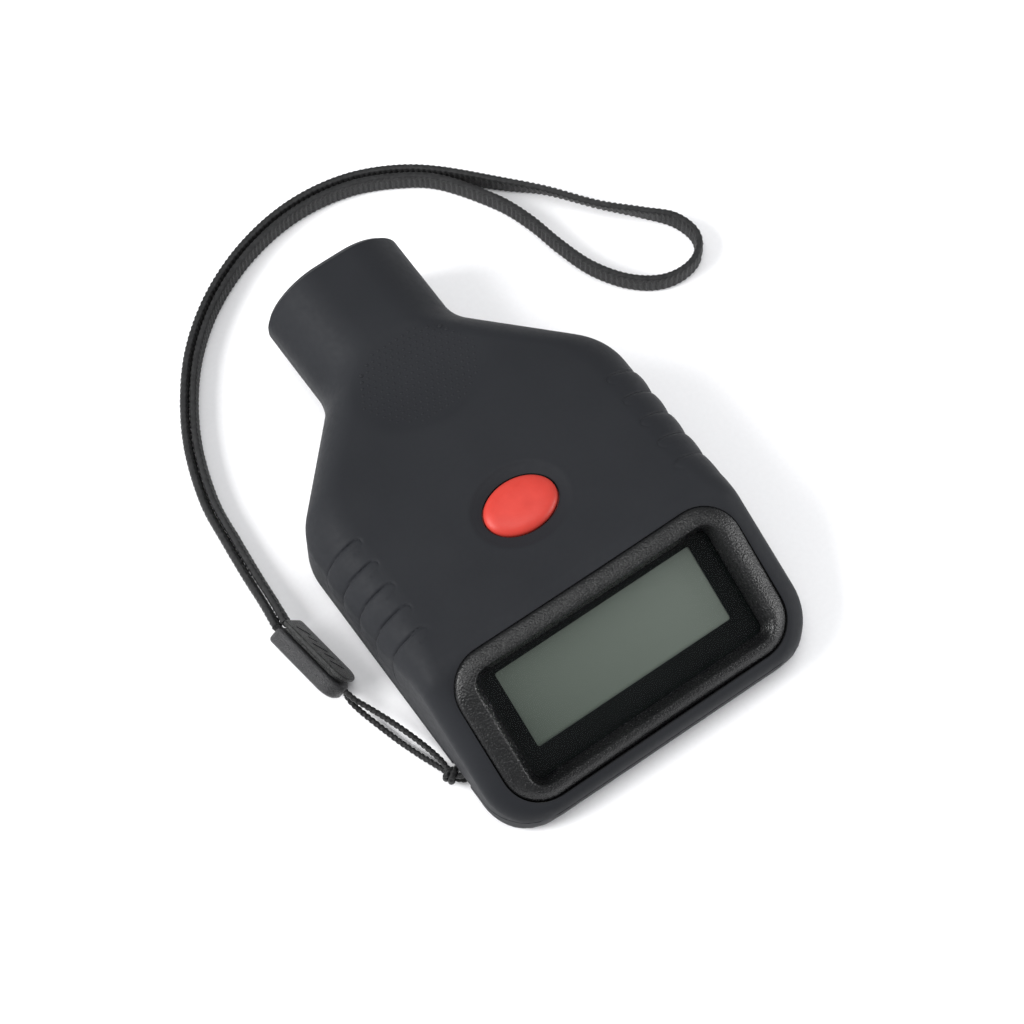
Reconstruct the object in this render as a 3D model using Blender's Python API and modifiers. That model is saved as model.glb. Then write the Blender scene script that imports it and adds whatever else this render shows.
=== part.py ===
"""Handheld coating thickness gauge with a wrist strap, built as separate solids.

Metres, +Z up. The body lies on its back on the plane Z = 0, centred on the origin.
The probe nose points along +Y, and the display is tilted towards the wide end at -Y.
"""
import math

import bmesh
import bpy
import numpy as np
from mathutils import Matrix, Vector

# Body
END_Y = -0.0528
NOSE_Y = 0.0520
HALF_WIDTH = 0.0335
NOSE_HALF_WIDTH = 0.0142
SHOULDER_Y = 0.0116
NECK_Y = 0.0321
END_CORNER_R = 0.0095
SHOULDER_R = 0.0120
NECK_R = 0.0060
DECK_Z = 0.0230
END_TOP_Z = 0.0082
CREST_Y = -0.0247
END_TOP_R = 0.0030
CREST_R = 0.0100
END_FOOT_R = 0.0040
NOSE_CHAMFER = 0.0008
CROWN = 0.0009
WALL = 0.0018
GAP = 0.0003
SPLIT_Z = 0.0055
STATION_MOST = 0.0080
STATION_LEAST = 0.0006
EDGE_R_TOP = ((-0.053, 0.0030), (-0.026, 0.0042), (-0.014, 0.0076), (0.016, 0.0086), (0.034, 0.0110))
EDGE_R_FOOT = ((-0.053, 0.0030), (-0.042, 0.0050), (0.016, 0.0060), (0.034, 0.0106))

# Display, in a frame tilted about X whose origin is the middle of the bezel's outer face
TILT = math.radians(28.3)
BEZEL_HALF = (0.0297, 0.0148)
BEZEL_TOP_EDGE = (-0.0253, 0.0228)
WINDOW_HALF = (0.0241, 0.0101)
WINDOW_Y = -0.00045
SCREEN_HALF = (0.0207, 0.0075)
SCREEN_Y = 0.0014

# Finger pad, button and switch
PAD_Y = 0.0235
BUTTON_Y = -0.0075
BUTTON_HALF = (0.0071, 0.0051)

# Probe, on an axis along Y through the nose
PROBE_Z = 0.0114
PROBE_TIP = 0.0008

# Battery compartment, opening through the back
CELL_R = 0.00525
CELL_LENGTH = 0.0445
CELL_Z = 0.0076
CELL_YS = (-0.0130, -0.0020)
DOOR_X = 0.0253
DOOR_Y = (-0.0201, 0.0049)
DOOR_THICK = 0.0016
BOARD_Z = (0.0152, 0.0164)
SCREW_PLACES = ((-0.0290, -0.0298), (0.0290, -0.0298), (-0.0240, 0.0127), (0.0240, 0.0127))
SCREW_POST_TOPS = (0.0112, 0.0112, 0.0216, 0.0216)

# Strap: a thin thread from a pin in the left wall to a clip, and flat webbing from the clip
PIN = Vector((-0.0320, -0.0368, 0.0031))
SLOT_HALF = 0.0029
THREAD_D = 0.0010
WEB_WIDTH = 0.0046
WEB_THICK = 0.0011
WEB_SPACING = 0.00175
CLIP_CENTRE = Vector((-0.04224, -0.00418, 0.00450))
CLIP_SIZE = Vector((0.0157, 0.0048, 0.0073))
CLIP_HEADING = math.radians(-82.2)
CLIP_LEAN = math.radians(29.6)
# The pair of strands: (x, y, z of the middle, lean from upright in degrees)
WEB_PAIR = (
    (-0.0432, 0.0042, 0.0045, 16), (-0.0426, 0.0094, 0.0039, 12), (-0.0420, 0.0161, 0.0031, 13),
    (-0.0412, 0.0238, 0.0027, 13), (-0.0401, 0.0325, 0.0025, 10), (-0.0369, 0.0424, 0.0024, 6),
    (-0.0323, 0.0510, 0.0024, 1), (-0.0262, 0.0588, 0.0024, 0), (-0.0185, 0.0652, 0.0024, -1),
    (-0.0097, 0.0698, 0.0024, 0), (-0.0004, 0.0725, 0.0024, 0), (0.0085, 0.0731, 0.0024, 0),
    (0.0173, 0.0716, 0.0024, 0), (0.0252, 0.0680, 0.0024, 0), (0.0317, 0.0630, 0.0024, 0),
)
# The open loop, from where the outer strand parts to where the inner strand joins
WEB_LOOP = (
    (0.0404, 0.0553, 0.0025, -7), (0.0463, 0.0493, 0.0026, -20), (0.0524, 0.0414, 0.0026, -22),
    (0.0583, 0.0351, 0.0025, -12), (0.0623, 0.0304, 0.0024, 0), (0.0634, 0.0254, 0.0024, 2),
    (0.0611, 0.0218, 0.0024, 1), (0.0568, 0.0206, 0.0024, 0), (0.0520, 0.0217, 0.0024, 0),
    (0.0474, 0.0254, 0.0024, 0), (0.0437, 0.0313, 0.0024, 0), (0.0416, 0.0382, 0.0024, 0),
    (0.0400, 0.0458, 0.0024, 0), (0.0373, 0.0529, 0.0024, 0),
)
# From the clip to the hitch, round the pin, and back through the hitch to the clip
THREAD_ROUTE = (
    (-0.0412, -0.0124, 0.0048), (-0.0407, -0.0145, 0.0046), (-0.0398, -0.0165, 0.0043),
    (-0.0382, -0.0201, 0.0039), (-0.0367, -0.0241, 0.0036), (-0.0354, -0.0283, 0.0034),
    (-0.0346, -0.0320, 0.0033), (-0.0345, -0.0341, 0.0033), (-0.0343, -0.0355, 0.0033),
    (-0.0338, -0.0365, 0.0036), (-0.0330, -0.0371, 0.0042), (-0.0319, -0.0373, 0.0045),
    (-0.0306, -0.0373, 0.0031), (-0.0319, -0.0372, 0.0017), (-0.0330, -0.0370, 0.0017),
    (-0.0338, -0.0364, 0.0019), (-0.0343, -0.0355, 0.0020), (-0.0347, -0.0341, 0.0018),
    (-0.0354, -0.0320, 0.0014), (-0.0365, -0.0288, 0.0009), (-0.0379, -0.0246, 0.0007),
    (-0.0392, -0.0205, 0.0011), (-0.0405, -0.0163, 0.0019), (-0.0411, -0.0141, 0.0028),
    (-0.0412, -0.0124, 0.0036),
)
HITCH_CENTRE = Vector((-0.0344, -0.0353, 0.00265))
HITCH_ACROSS = Vector((0.94, 0.34, 0.0))
HITCH_HALF = (0.0012, 0.0019)


# ---------------------------------------------------------------- tools

def clear_scene():
    """Removes whatever the file holds, so that the script can run again."""
    for thing in list(bpy.data.objects):
        bpy.data.objects.remove(thing, do_unlink=True)


def new_collection(name):
    collection = bpy.data.collections.new(name)
    bpy.context.scene.collection.children.link(collection)
    return collection


def material(name, colour, roughness, metallic=0.0, alpha=1.0):
    """A Principled material, made once for each name."""
    made = bpy.data.materials.get(name)
    if made:
        return made
    made = bpy.data.materials.new(name)
    made.use_nodes = True
    shader = made.node_tree.nodes["Principled BSDF"]
    shader.inputs["Base Color"].default_value = (*colour, 1.0)
    shader.inputs["Roughness"].default_value = roughness
    shader.inputs["Metallic"].default_value = metallic
    shader.inputs["Alpha"].default_value = alpha
    made.diffuse_color = (*colour, alpha)
    return made


def add_object(name, mesh, look=None, parent=None):
    """Places a mesh as a part, or as a hidden cutter when it has no material."""
    thing = bpy.data.objects.new(name, mesh)
    if look:
        PARTS.objects.link(thing)
        mesh.materials.append(look)
        mesh.shade_smooth()
        mesh.set_sharp_from_angle(angle=math.radians(35))
    else:
        CUTTERS.objects.link(thing)
        thing.hide_render = True
        thing.display_type = "WIRE"
    thing.parent = parent
    return thing


def finish(name, bm, look=None, parent=None):
    """Turns a bmesh into a part or a cutter."""
    bmesh.ops.recalc_face_normals(bm, faces=bm.faces)
    mesh = bpy.data.meshes.new(name)
    bm.to_mesh(mesh)
    bm.free()
    return add_object(name, mesh, look, parent)


def add_box(bm, low, high):
    low, high = Vector(low), Vector(high)
    place = Matrix.LocRotScale((low + high) / 2, None, high - low)
    bmesh.ops.create_cube(bm, size=1.0, matrix=place)


def add_cylinder(bm, centre, radius, length, axis="Z", segments=24, squeeze=1.0):
    """A cylinder about centre; squeeze scales its second cross axis."""
    turn = {"X": (0, math.pi / 2, 0), "Y": (math.pi / 2, 0, 0), "Z": (0, 0, 0)}[axis]
    place = Matrix.LocRotScale(Vector(centre), None, None)
    for angle, about in zip(turn, "XYZ"):
        place = place @ Matrix.Rotation(angle, 4, about)
    place = place @ Matrix.Diagonal((1, squeeze, 1, 1))
    bmesh.ops.create_cone(
        bm, cap_ends=True, segments=segments, radius1=radius, radius2=radius, depth=length, matrix=place)


def add_ellipsoid(bm, centre, radii, segments=24):
    place = Matrix.LocRotScale(Vector(centre), None, Vector(radii))
    bmesh.ops.create_uvsphere(bm, u_segments=segments, v_segments=segments // 2, radius=1.0, matrix=place)


def boolean(target, operation, tool):
    """A Boolean step, by the manifold solver because the exact one loses the covers' hollow."""
    step = target.modifiers.new(tool.name, "BOOLEAN")
    step.solver = "MANIFOLD"
    step.operation = operation
    step.object = tool


def bevel(target, width, segments=2, angle=40):
    step = target.modifiers.new("edge_bevel", "BEVEL")
    step.width = width
    step.segments = segments
    step.limit_method = "ANGLE"
    step.angle_limit = math.radians(angle)


def turned(name, profile, look, parent, steps=28, closed=False):
    """A solid turned about its own Z from (radius, z) points running down the outer side."""
    mesh = bpy.data.meshes.new(name)
    count = len(profile)
    edges = [(i, i + 1) for i in range(count - 1)]
    if closed:
        edges.append((count - 1, 0))
    mesh.from_pydata([(r, 0.0, z) for r, z in profile], edges, [])
    thing = add_object(name, mesh, look, parent)
    screw = thing.modifiers.new("turn", "SCREW")
    screw.steps = steps
    screw.render_steps = steps
    screw.use_merge_vertices = True
    screw.merge_threshold = 0.00001
    return thing


def tube(name, points, diameter, look, cyclic=False):
    """A round cord or wire along the points."""
    curve = bpy.data.curves.new(name, "CURVE")
    curve.dimensions = "3D"
    curve.bevel_depth = diameter / 2
    curve.bevel_resolution = 2
    curve.use_fill_caps = True
    spline = curve.splines.new("POLY")
    spline.points.add(len(points) - 1)
    for spot, place in zip(spline.points, points):
        spot.co = (*place, 1.0)
    spline.use_cyclic_u = cyclic
    curve.materials.append(look)
    thing = bpy.data.objects.new(name, curve)
    PARTS.objects.link(thing)
    return thing


def loft(name, rings, look=None, parent=None, closed=False):
    """A solid through rings of points, capped at its ends or joined end to start."""
    bm = bmesh.new()
    loops = [[bm.verts.new(point) for point in ring] for ring in rings]
    following = loops[1:] + loops[:1] if closed else loops[1:]
    for ring, after in zip(loops, following):
        for i, corner in enumerate(ring):
            j = (i + 1) % len(ring)
            bm.faces.new((corner, ring[j], after[j], after[i]))
    if not closed:
        bm.faces.new(loops[0])
        bm.faces.new(loops[-1])
    return finish(name, bm, look, parent)


def rounded_path(corners, steps=5, closed=False):
    """Points of a path through (a, b, radius) corners, each rounded by its radius."""
    points = []
    for i, (a, b, radius) in enumerate(corners):
        here = Vector((a, b))
        if radius == 0:
            points.append(here)
            continue
        back = (Vector(corners[i - 1][:2]) - here).normalized()
        ahead = (Vector(corners[(i + 1) % len(corners)][:2]) - here).normalized()
        half = back.angle(ahead) / 2
        centre = here + (back + ahead).normalized() * radius / math.sin(half)
        start = here + back * radius / math.tan(half) - centre
        sweep = math.pi - 2 * half
        if back.x * ahead.y - back.y * ahead.x > 0:
            sweep = -sweep
        for step in range(steps + 1):
            points.append(centre + Matrix.Rotation(sweep * step / steps, 2) @ start)
    return points


def rounded_rectangle(half, radius, z, centre_y=0.0, steps=4):
    """A ring of points round a rectangle in the XY plane, at height z."""
    x, y = half
    corners = ((x, -y, radius), (x, y, radius), (-x, y, radius), (-x, -y, radius))
    return [(p.x, p.y + centre_y, z) for p in rounded_path(corners, steps, closed=True)]


def smooth(points, spacing):
    """Catmull-Rom curve through the points, sampled at about the spacing."""
    data = np.array([tuple(p) for p in points], float)
    ends = np.vstack((2 * data[0] - data[1], data, 2 * data[-1] - data[-2]))
    out = []
    for a, b, c, d in zip(ends, ends[1:], ends[2:], ends[3:]):
        count = max(1, round(float(np.linalg.norm((c - b)[:3])) / spacing))
        for t in np.arange(count) / count:
            out.append(0.5 * (2 * b + (c - a) * t + (2 * a - 5 * b + 4 * c - d) * t**2
                              + (3 * b - a - 3 * c + d) * t**3))
    out.append(data[-1])
    return out


# ---------------------------------------------------------------- body shape

def plan_path(inset=0.0):
    """Half outline seen from above as (y, half width), wide end first."""
    run = Vector((HALF_WIDTH - NOSE_HALF_WIDTH, NECK_Y - SHOULDER_Y))
    slip = inset * math.tan(math.atan2(run.x, run.y) / 2)
    x, nose = HALF_WIDTH - inset, NOSE_HALF_WIDTH - inset
    corners = (
        (END_Y + inset, 0.0, 0), (END_Y + inset, x, END_CORNER_R - inset),
        (SHOULDER_Y - slip, x, SHOULDER_R - inset), (NECK_Y - slip, nose, NECK_R + inset),
        (NOSE_Y - inset - NOSE_CHAMFER, nose, 0), (NOSE_Y - inset, nose - NOSE_CHAMFER, 0),
    )
    return rounded_path(corners)


def top_path(inset=0.0):
    """Side profile of the top as (y, z), wide end first."""
    end_z = END_TOP_Z - inset * (1 - math.sin(TILT)) / math.cos(TILT)
    crest_y = CREST_Y + inset * math.tan(TILT / 2)
    top = DECK_Z - inset
    corners = (
        (END_Y + inset, 0.0, 0), (END_Y + inset, end_z, END_TOP_R - inset / 2), (crest_y, top, CREST_R),
        (NOSE_Y - inset - NOSE_CHAMFER, top, 0), (NOSE_Y - inset, top - NOSE_CHAMFER, 0),
    )
    return rounded_path(corners, 4)


def foot_path(inset=0.0):
    """Side profile of the back as (y, z), wide end first."""
    corners = (
        (END_Y + inset, 0.006 + inset, 0), (END_Y + inset, inset, END_FOOT_R - inset),
        (NOSE_Y - inset - NOSE_CHAMFER, inset, 0), (NOSE_Y - inset, inset + NOSE_CHAMFER, 0),
    )
    return rounded_path(corners, 3)


def along(path, y):
    """The path's second value at y."""
    return float(np.interp(y, [p[0] for p in path], [p[1] for p in path]))


def arc(centre, radius, start, end, steps):
    """Points of an arc, with angles in degrees."""
    angles = np.radians(np.linspace(start, end, steps + 1))
    return [(centre[0] + radius * math.cos(a), centre[1] + radius * math.sin(a)) for a in angles]


def section(y, inset=0.0):
    """The ring of points round the body at y."""
    width = along(plan_path(inset), y)
    top, foot = along(top_path(inset), y), along(foot_path(inset), y)
    most = min(width, (top - foot) / 2) * 0.97
    r_top = min(max(along(EDGE_R_TOP, y) - inset, 0.0008), most)
    r_foot = min(max(along(EDGE_R_FOOT, y) - inset, 0.0008), most)
    half = [(width * 0.5 * (1 - r_foot / width), foot)]
    half += arc((width - r_foot, foot + r_foot), r_foot, -90, 0, 4)
    half += arc((width - r_top, top - r_top), r_top, 0, 90, 5)
    half += [((width - r_top) * 0.66, top), ((width - r_top) * 0.33, top)]
    points = [(0.0, foot)] + half + [(0.0, top)] + [(-x, z) for x, z in reversed(half)]
    crown = CROWN / (top - foot)
    return [(x, y, z - crown * (x / width) ** 2 * (z - foot)) for x, z in points]


def stations(inset=0.0):
    """Places of the sections along Y: at every bend, and never far apart."""
    bends = sorted(p[0] for p in plan_path(inset) + top_path(inset) + foot_path(inset))
    places = [bends[0]]
    for y in bends[1:]:
        while y - places[-1] > STATION_MOST:
            places.append(places[-1] + STATION_MOST)
        if y - places[-1] > STATION_LEAST:
            places.append(y)
    places[-1] = bends[-1]
    return places


def body_solid(name, inset=0.0, look=None):
    return loft(name, [section(y, inset) for y in stations(inset)], look)


# ---------------------------------------------------------------- casing

def casing():
    """Top and bottom covers: one hollow body, split a little above the table."""
    rubber = material("soft_touch_black", (0.045, 0.046, 0.050), 0.62)
    top = body_solid("top_cover", look=rubber)
    bottom = body_solid("bottom_cover", look=rubber)
    hollow = body_solid("cut_hollow", WALL)
    top_posts, pilots, bosses = bmesh.new(), bmesh.new(), bmesh.new()
    shank_holes, head_holes = bmesh.new(), bmesh.new()
    for (x, y), post_top in zip(SCREW_PLACES, SCREW_POST_TOPS):
        add_cylinder(top_posts, (x, y, (0.0062 + post_top) / 2), 0.0030, post_top - 0.0062, segments=16)
        add_cylinder(pilots, (x, y, 0.0060), 0.0014, 0.0100, segments=12)
        add_cylinder(bosses, (x, y, 0.0033), 0.0034, 0.0034, segments=16)
        add_cylinder(shank_holes, (x, y, 0.0040), 0.0014, 0.0120, segments=12)
        add_cylinder(head_holes, (x, y, 0.0), 0.0025, 0.0062, segments=16)
    pin_boss = bmesh.new()
    add_box(pin_boss, (-0.0321, PIN.y - 0.0045, 0.0017), (-0.0285, PIN.y + 0.0045, 0.0051))
    lower, upper = bmesh.new(), bmesh.new()
    add_box(lower, (-0.04, -0.06, -0.01), (0.04, 0.06, SPLIT_Z + GAP / 2))
    add_box(upper, (-0.04, -0.06, SPLIT_Z - GAP / 2), (0.04, 0.06, 0.04))
    boolean(top, "DIFFERENCE", finish("cut_lower", lower))
    boolean(bottom, "DIFFERENCE", finish("cut_upper", upper))
    for cover in (top, bottom):
        boolean(cover, "DIFFERENCE", hollow)
    boolean(top, "UNION", finish("join_posts", top_posts))
    boolean(bottom, "UNION", finish("join_bosses", bosses))
    boolean(bottom, "UNION", finish("join_pin_boss", pin_boss))
    boolean(top, "DIFFERENCE", finish("cut_pilots", pilots))
    boolean(bottom, "DIFFERENCE", finish("cut_shank_holes", shank_holes))
    boolean(bottom, "DIFFERENCE", finish("cut_head_holes", head_holes))
    cut_nose_bore((top, bottom))
    cut_deck(top)
    cut_back(bottom)


def cut_nose_bore(covers):
    """The bore in the nose's end wall that holds the nose ring."""
    bore = bmesh.new()
    add_cylinder(bore, (0, NOSE_Y - 0.0007, PROBE_Z), 0.0093, 0.0060, "Y", 28)
    tool = finish("cut_nose_bore", bore)
    for cover in covers:
        boolean(cover, "DIFFERENCE", tool)


def cut_deck(top):
    """Openings and hollows of the top cover: display, finger pad, button dish and hole."""
    half = [side + GAP for side in BEZEL_HALF]
    rings = [rounded_rectangle(half, 0.0078, z) for z in (-0.0052, 0.0060)]
    boolean(top, "DIFFERENCE", loft("cut_display", rings, parent=DISPLAY))
    pad = bmesh.new()
    add_ellipsoid(pad, (0, PAD_Y, DECK_Z + 0.0052), (0.0230, 0.0180, 0.0060))
    boolean(top, "DIFFERENCE", finish("cut_finger_pad", pad))
    dish = bmesh.new()
    add_ellipsoid(dish, (0, BUTTON_Y, DECK_Z + 0.0032), (0.0190, 0.0150, 0.0040))
    boolean(top, "DIFFERENCE", finish("cut_button_dish", dish))
    hole = bmesh.new()
    squeeze = (BUTTON_HALF[1] + GAP) / (BUTTON_HALF[0] + GAP)
    add_cylinder(hole, (0, BUTTON_Y, DECK_Z), BUTTON_HALF[0] + GAP, 0.0080, segments=32, squeeze=squeeze)
    boolean(top, "DIFFERENCE", finish("cut_button_hole", hole))


def cut_back(bottom):
    """Openings of the bottom cover: battery door, strap slot and the bore of its pin."""
    door = bmesh.new()
    add_box(door, (-DOOR_X - GAP, DOOR_Y[0] - GAP, -0.001), (DOOR_X + GAP, DOOR_Y[1] + GAP, 0.003))
    boolean(bottom, "DIFFERENCE", finish("cut_door", door))
    slot = bmesh.new()
    low = (-0.0350, PIN.y - SLOT_HALF, PIN.z - 0.0022)
    add_box(slot, low, (-0.0295, PIN.y + SLOT_HALF, PIN.z + 0.0026))
    boolean(bottom, "DIFFERENCE", finish("cut_strap_slot", slot))
    bore = bmesh.new()
    add_cylinder(bore, PIN, 0.0008, 0.0078, "Y", 12)
    boolean(bottom, "DIFFERENCE", finish("cut_pin_bore", bore))


def case_screws():
    """Four cross-head screws from the back into the top cover's posts."""
    steel = material("zinc_steel", (0.55, 0.55, 0.56), 0.35, 1.0)
    for number, (x, y) in enumerate(SCREW_PLACES, start=1):
        profile = ((0, 0.0096), (0.0005, 0.0096), (0.0011, 0.0088), (0.0011, 0.0026),
                   (0.0021, 0.0026), (0.0021, 0.0014), (0.0015, 0.0009), (0, 0.0009))
        screw = turned(f"case_screw_{number}", profile, steel, None, steps=16)
        screw.location = (x, y, 0)
        for arm, (half_x, half_y) in enumerate(((0.0012, 0.0003), (0.0003, 0.0012))):
            cross = bmesh.new()
            add_box(cross, (x - half_x, y - half_y, 0.0), (x + half_x, y + half_y, 0.0017))
            boolean(screw, "DIFFERENCE", finish(f"cut_cross_{arm}_{number}", cross))


# ---------------------------------------------------------------- display

def display_bezel():
    """A frame with a raised rim, an inner slope to the window and a pocket behind for the lens."""
    grained = material("grained_black", (0.020, 0.021, 0.021), 0.42)
    x, y = BEZEL_HALF
    rings = [
        rounded_rectangle((x, y), 0.0075, -0.0032),
        rounded_rectangle((x, y), 0.0075, -0.0002),
        rounded_rectangle((x - 0.0009, y - 0.0009), 0.0066, 0.0006),
        rounded_rectangle((x - 0.0026, y - 0.0022), 0.0052, 0.0007),
        rounded_rectangle(WINDOW_HALF, 0.0022, -0.0016, WINDOW_Y),
        rounded_rectangle(WINDOW_HALF, 0.0022, -0.0019, WINDOW_Y),
        rounded_rectangle((0.0256, 0.0121), 0.0020, -0.0019, WINDOW_Y),
        rounded_rectangle((0.0256, 0.0121), 0.0020, -0.0032, WINDOW_Y),
    ]
    loft("display_bezel", rings, grained, DISPLAY, closed=True)


def plate(name, half, z, look, centre_y=0.0, radius=0.0008):
    """A flat plate of the display stack between two depths."""
    rings = [rounded_rectangle(half, radius, depth, centre_y, 2) for depth in z]
    return loft(name, rings, look, DISPLAY)


def plate_frame(name, outer, inner, z, look, outer_y, inner_y):
    """A flat frame of the display stack between two depths."""
    back, front = z
    rings = [rounded_rectangle(outer, 0.0008, depth, outer_y, 2) for depth in (back, front)]
    rings += [rounded_rectangle(inner, 0.0004, depth, inner_y, 2) for depth in (front, back)]
    return loft(name, rings, look, DISPLAY, closed=True)


def display_stack():
    """Lens, mask, LCD, its holder, backlight, connector and board, from the front to the back."""
    clear = material("clear_acrylic", (0.80, 0.82, 0.80), 0.05, alpha=0.3)
    ink = material("mask_black", (0.004, 0.005, 0.005), 0.30)
    lcd = material("lcd_glass", (0.16, 0.19, 0.16), 0.15)
    frame = material("black_abs", (0.03, 0.03, 0.03), 0.5)
    light = material("white_diffuser", (0.75, 0.75, 0.72), 0.4)
    carbon = material("elastomer_black", (0.03, 0.03, 0.035), 0.7)
    plate("window_lens", (0.0252, 0.0117), (-0.0022, -0.0032), clear, WINDOW_Y, 0.0016)
    plate_frame("display_mask", (0.0250, 0.0115), SCREEN_HALF, (-0.0035, -0.0037), ink, WINDOW_Y, SCREEN_Y)
    plate("lcd_panel", (0.0220, 0.0096), (-0.0040, -0.0058), lcd, 0.0012)
    plate_frame("lcd_holder", (0.0270, 0.0126), (0.0224, 0.0100), (-0.0040, -0.0070), frame, -0.0004, 0.0012)
    plate("backlight_panel", (0.0190, 0.0066), (-0.0061, -0.0073), light, 0.0020)
    plate("zebra_strip", (0.0200, 0.0009), (-0.0061, -0.0073), carbon, -0.0062, 0.0003)
    plate("display_board", (0.0250, 0.0110), (-0.0076, -0.0086), board_look(), -0.0004)


def board_look():
    return material("board_green", (0.02, 0.16, 0.06), 0.45)


# ---------------------------------------------------------------- electronics

def main_board():
    """A flat board above the batteries, narrowing towards the nose."""
    curve = bpy.data.curves.new("main_board", "CURVE")
    curve.dimensions = "2D"
    curve.fill_mode = "BOTH"
    curve.extrude = (BOARD_Z[1] - BOARD_Z[0]) / 2
    right_side = ((0.022, -0.021), (0.022, 0.007), (0.010, 0.020), (0.010, 0.025))
    outline = right_side + tuple((-x, y) for x, y in reversed(right_side))
    spline = curve.splines.new("POLY")
    spline.points.add(len(outline) - 1)
    for spot, (x, y) in zip(spline.points, outline):
        spot.co = (x, y, 0, 1)
    spline.use_cyclic_u = True
    curve.materials.append(board_look())
    board = bpy.data.objects.new("main_board", curve)
    board.location.z = sum(BOARD_Z) / 2
    PARTS.objects.link(board)


def board_parts():
    """What stands on the main board."""
    black = material("chip_black", (0.015, 0.015, 0.016), 0.5)
    shell = material("buzzer_black", (0.02, 0.02, 0.02), 0.4)
    seat = BOARD_Z[1] + GAP
    chip = bmesh.new()
    add_box(chip, (-0.0170, -0.0040, seat), (-0.0070, 0.0060, seat + 0.0014))
    finish("controller_chip", chip, black)
    chip = bmesh.new()
    add_box(chip, (-0.0030, 0.0110, seat), (0.0030, 0.0150, seat + 0.0013))
    finish("amplifier_chip", chip, black)
    profile = ((0, 0.0026), (0.0054, 0.0026), (0.0060, 0.0020), (0.0060, 0), (0, 0))
    buzzer = turned("buzzer", profile, shell, None)
    buzzer.location = (0.0140, -0.0010, seat)


def flex_ribbon():
    """A thin ribbon from behind the display board to beneath the main board."""
    film = material("polyimide", (0.45, 0.22, 0.03), 0.35)
    route = ((-0.0289, 0.01070), (-0.0265, 0.01195), (-0.0246, 0.01305), (-0.0230, 0.01410),
             (-0.0214, 0.01470), (-0.0170, 0.01475))
    mesh = bpy.data.meshes.new("flex_ribbon")
    across = (-0.0060, 0.0060)
    points = [(x, y, z) for y, z in route for x in across]
    faces = [(2 * i, 2 * i + 1, 2 * i + 3, 2 * i + 2) for i in range(len(route) - 1)]
    mesh.from_pydata(points, [], faces)
    ribbon = add_object("flex_ribbon", mesh, film)
    thick = ribbon.modifiers.new("film", "SOLIDIFY")
    thick.thickness = 0.00015
    thick.offset = 0


def switch_and_button():
    """The tactile switch on the board, its plunger, and the oval button over it."""
    steel = material("switch_shell", (0.5, 0.5, 0.5), 0.35, 0.8)
    white = material("switch_plunger", (0.7, 0.7, 0.68), 0.4)
    red = material("button_red", (0.78, 0.085, 0.055), 0.38)
    seat = BOARD_Z[1] + GAP
    case = bmesh.new()
    add_box(case, (-0.0031, BUTTON_Y - 0.0031, seat), (0.0031, BUTTON_Y + 0.0031, 0.0187))
    case = finish("switch_body", case, steel)
    bore = bmesh.new()
    add_cylinder(bore, (0, BUTTON_Y, 0.0192), 0.0020, 0.0032, segments=20)
    boolean(case, "DIFFERENCE", finish("cut_switch_bore", bore))
    profile = ((0, 0.0193), (0.0014, 0.0193), (0.0016, 0.0191), (0.0016, 0.0184), (0, 0.0184))
    plunger = turned("switch_plunger", profile, white, None, steps=20)
    plunger.location = (0, BUTTON_Y, 0)
    shape = ((0.28, 0.0196), (0.28, 0.0199), (1.16, 0.0199), (1.16, 0.0208), (1.0, 0.0208), (1.0, 0.0224),
             (0.97, 0.0229), (0.88, 0.0233), (0.70, 0.0236), (0.40, 0.0238))
    angles = [math.tau * i / 32 for i in range(32)]
    rings = []
    for factor, z in shape:
        x, y = BUTTON_HALF[0] * factor, BUTTON_HALF[1] * factor
        rings.append([(x * math.cos(a), y * math.sin(a), z) for a in angles])
    button = loft("button", rings, red)
    button.location = (0, BUTTON_Y, 0)


# ---------------------------------------------------------------- probe

def helix(turns, steps, start, end, start_r, end_r):
    """Points of a coil from start to end, along X or Y."""
    start, end = Vector(start), Vector(end)
    side = Vector((0, 1, 0)) if start.x != end.x else Vector((1, 0, 0))
    points = []
    for i in range(turns * steps + 1):
        share = i / (turns * steps)
        angle = math.tau * turns * share
        radius = start_r + (end_r - start_r) * share
        spoke = side * math.cos(angle) + Vector((0, 0, math.sin(angle)))
        points.append(start.lerp(end, share) + spoke * radius)
    return points


def turned_on_probe(name, profile, look, closed=False, steps=28):
    """A part turned about the probe's axis, with the profile's z measured along +Y from the nose's end."""
    return turned(name, profile, look, PROBE_AXIS, steps, closed)


def tube_profile(outer, inner, start, end):
    return ((outer, end), (outer, start), (inner, start), (inner, end))


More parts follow.
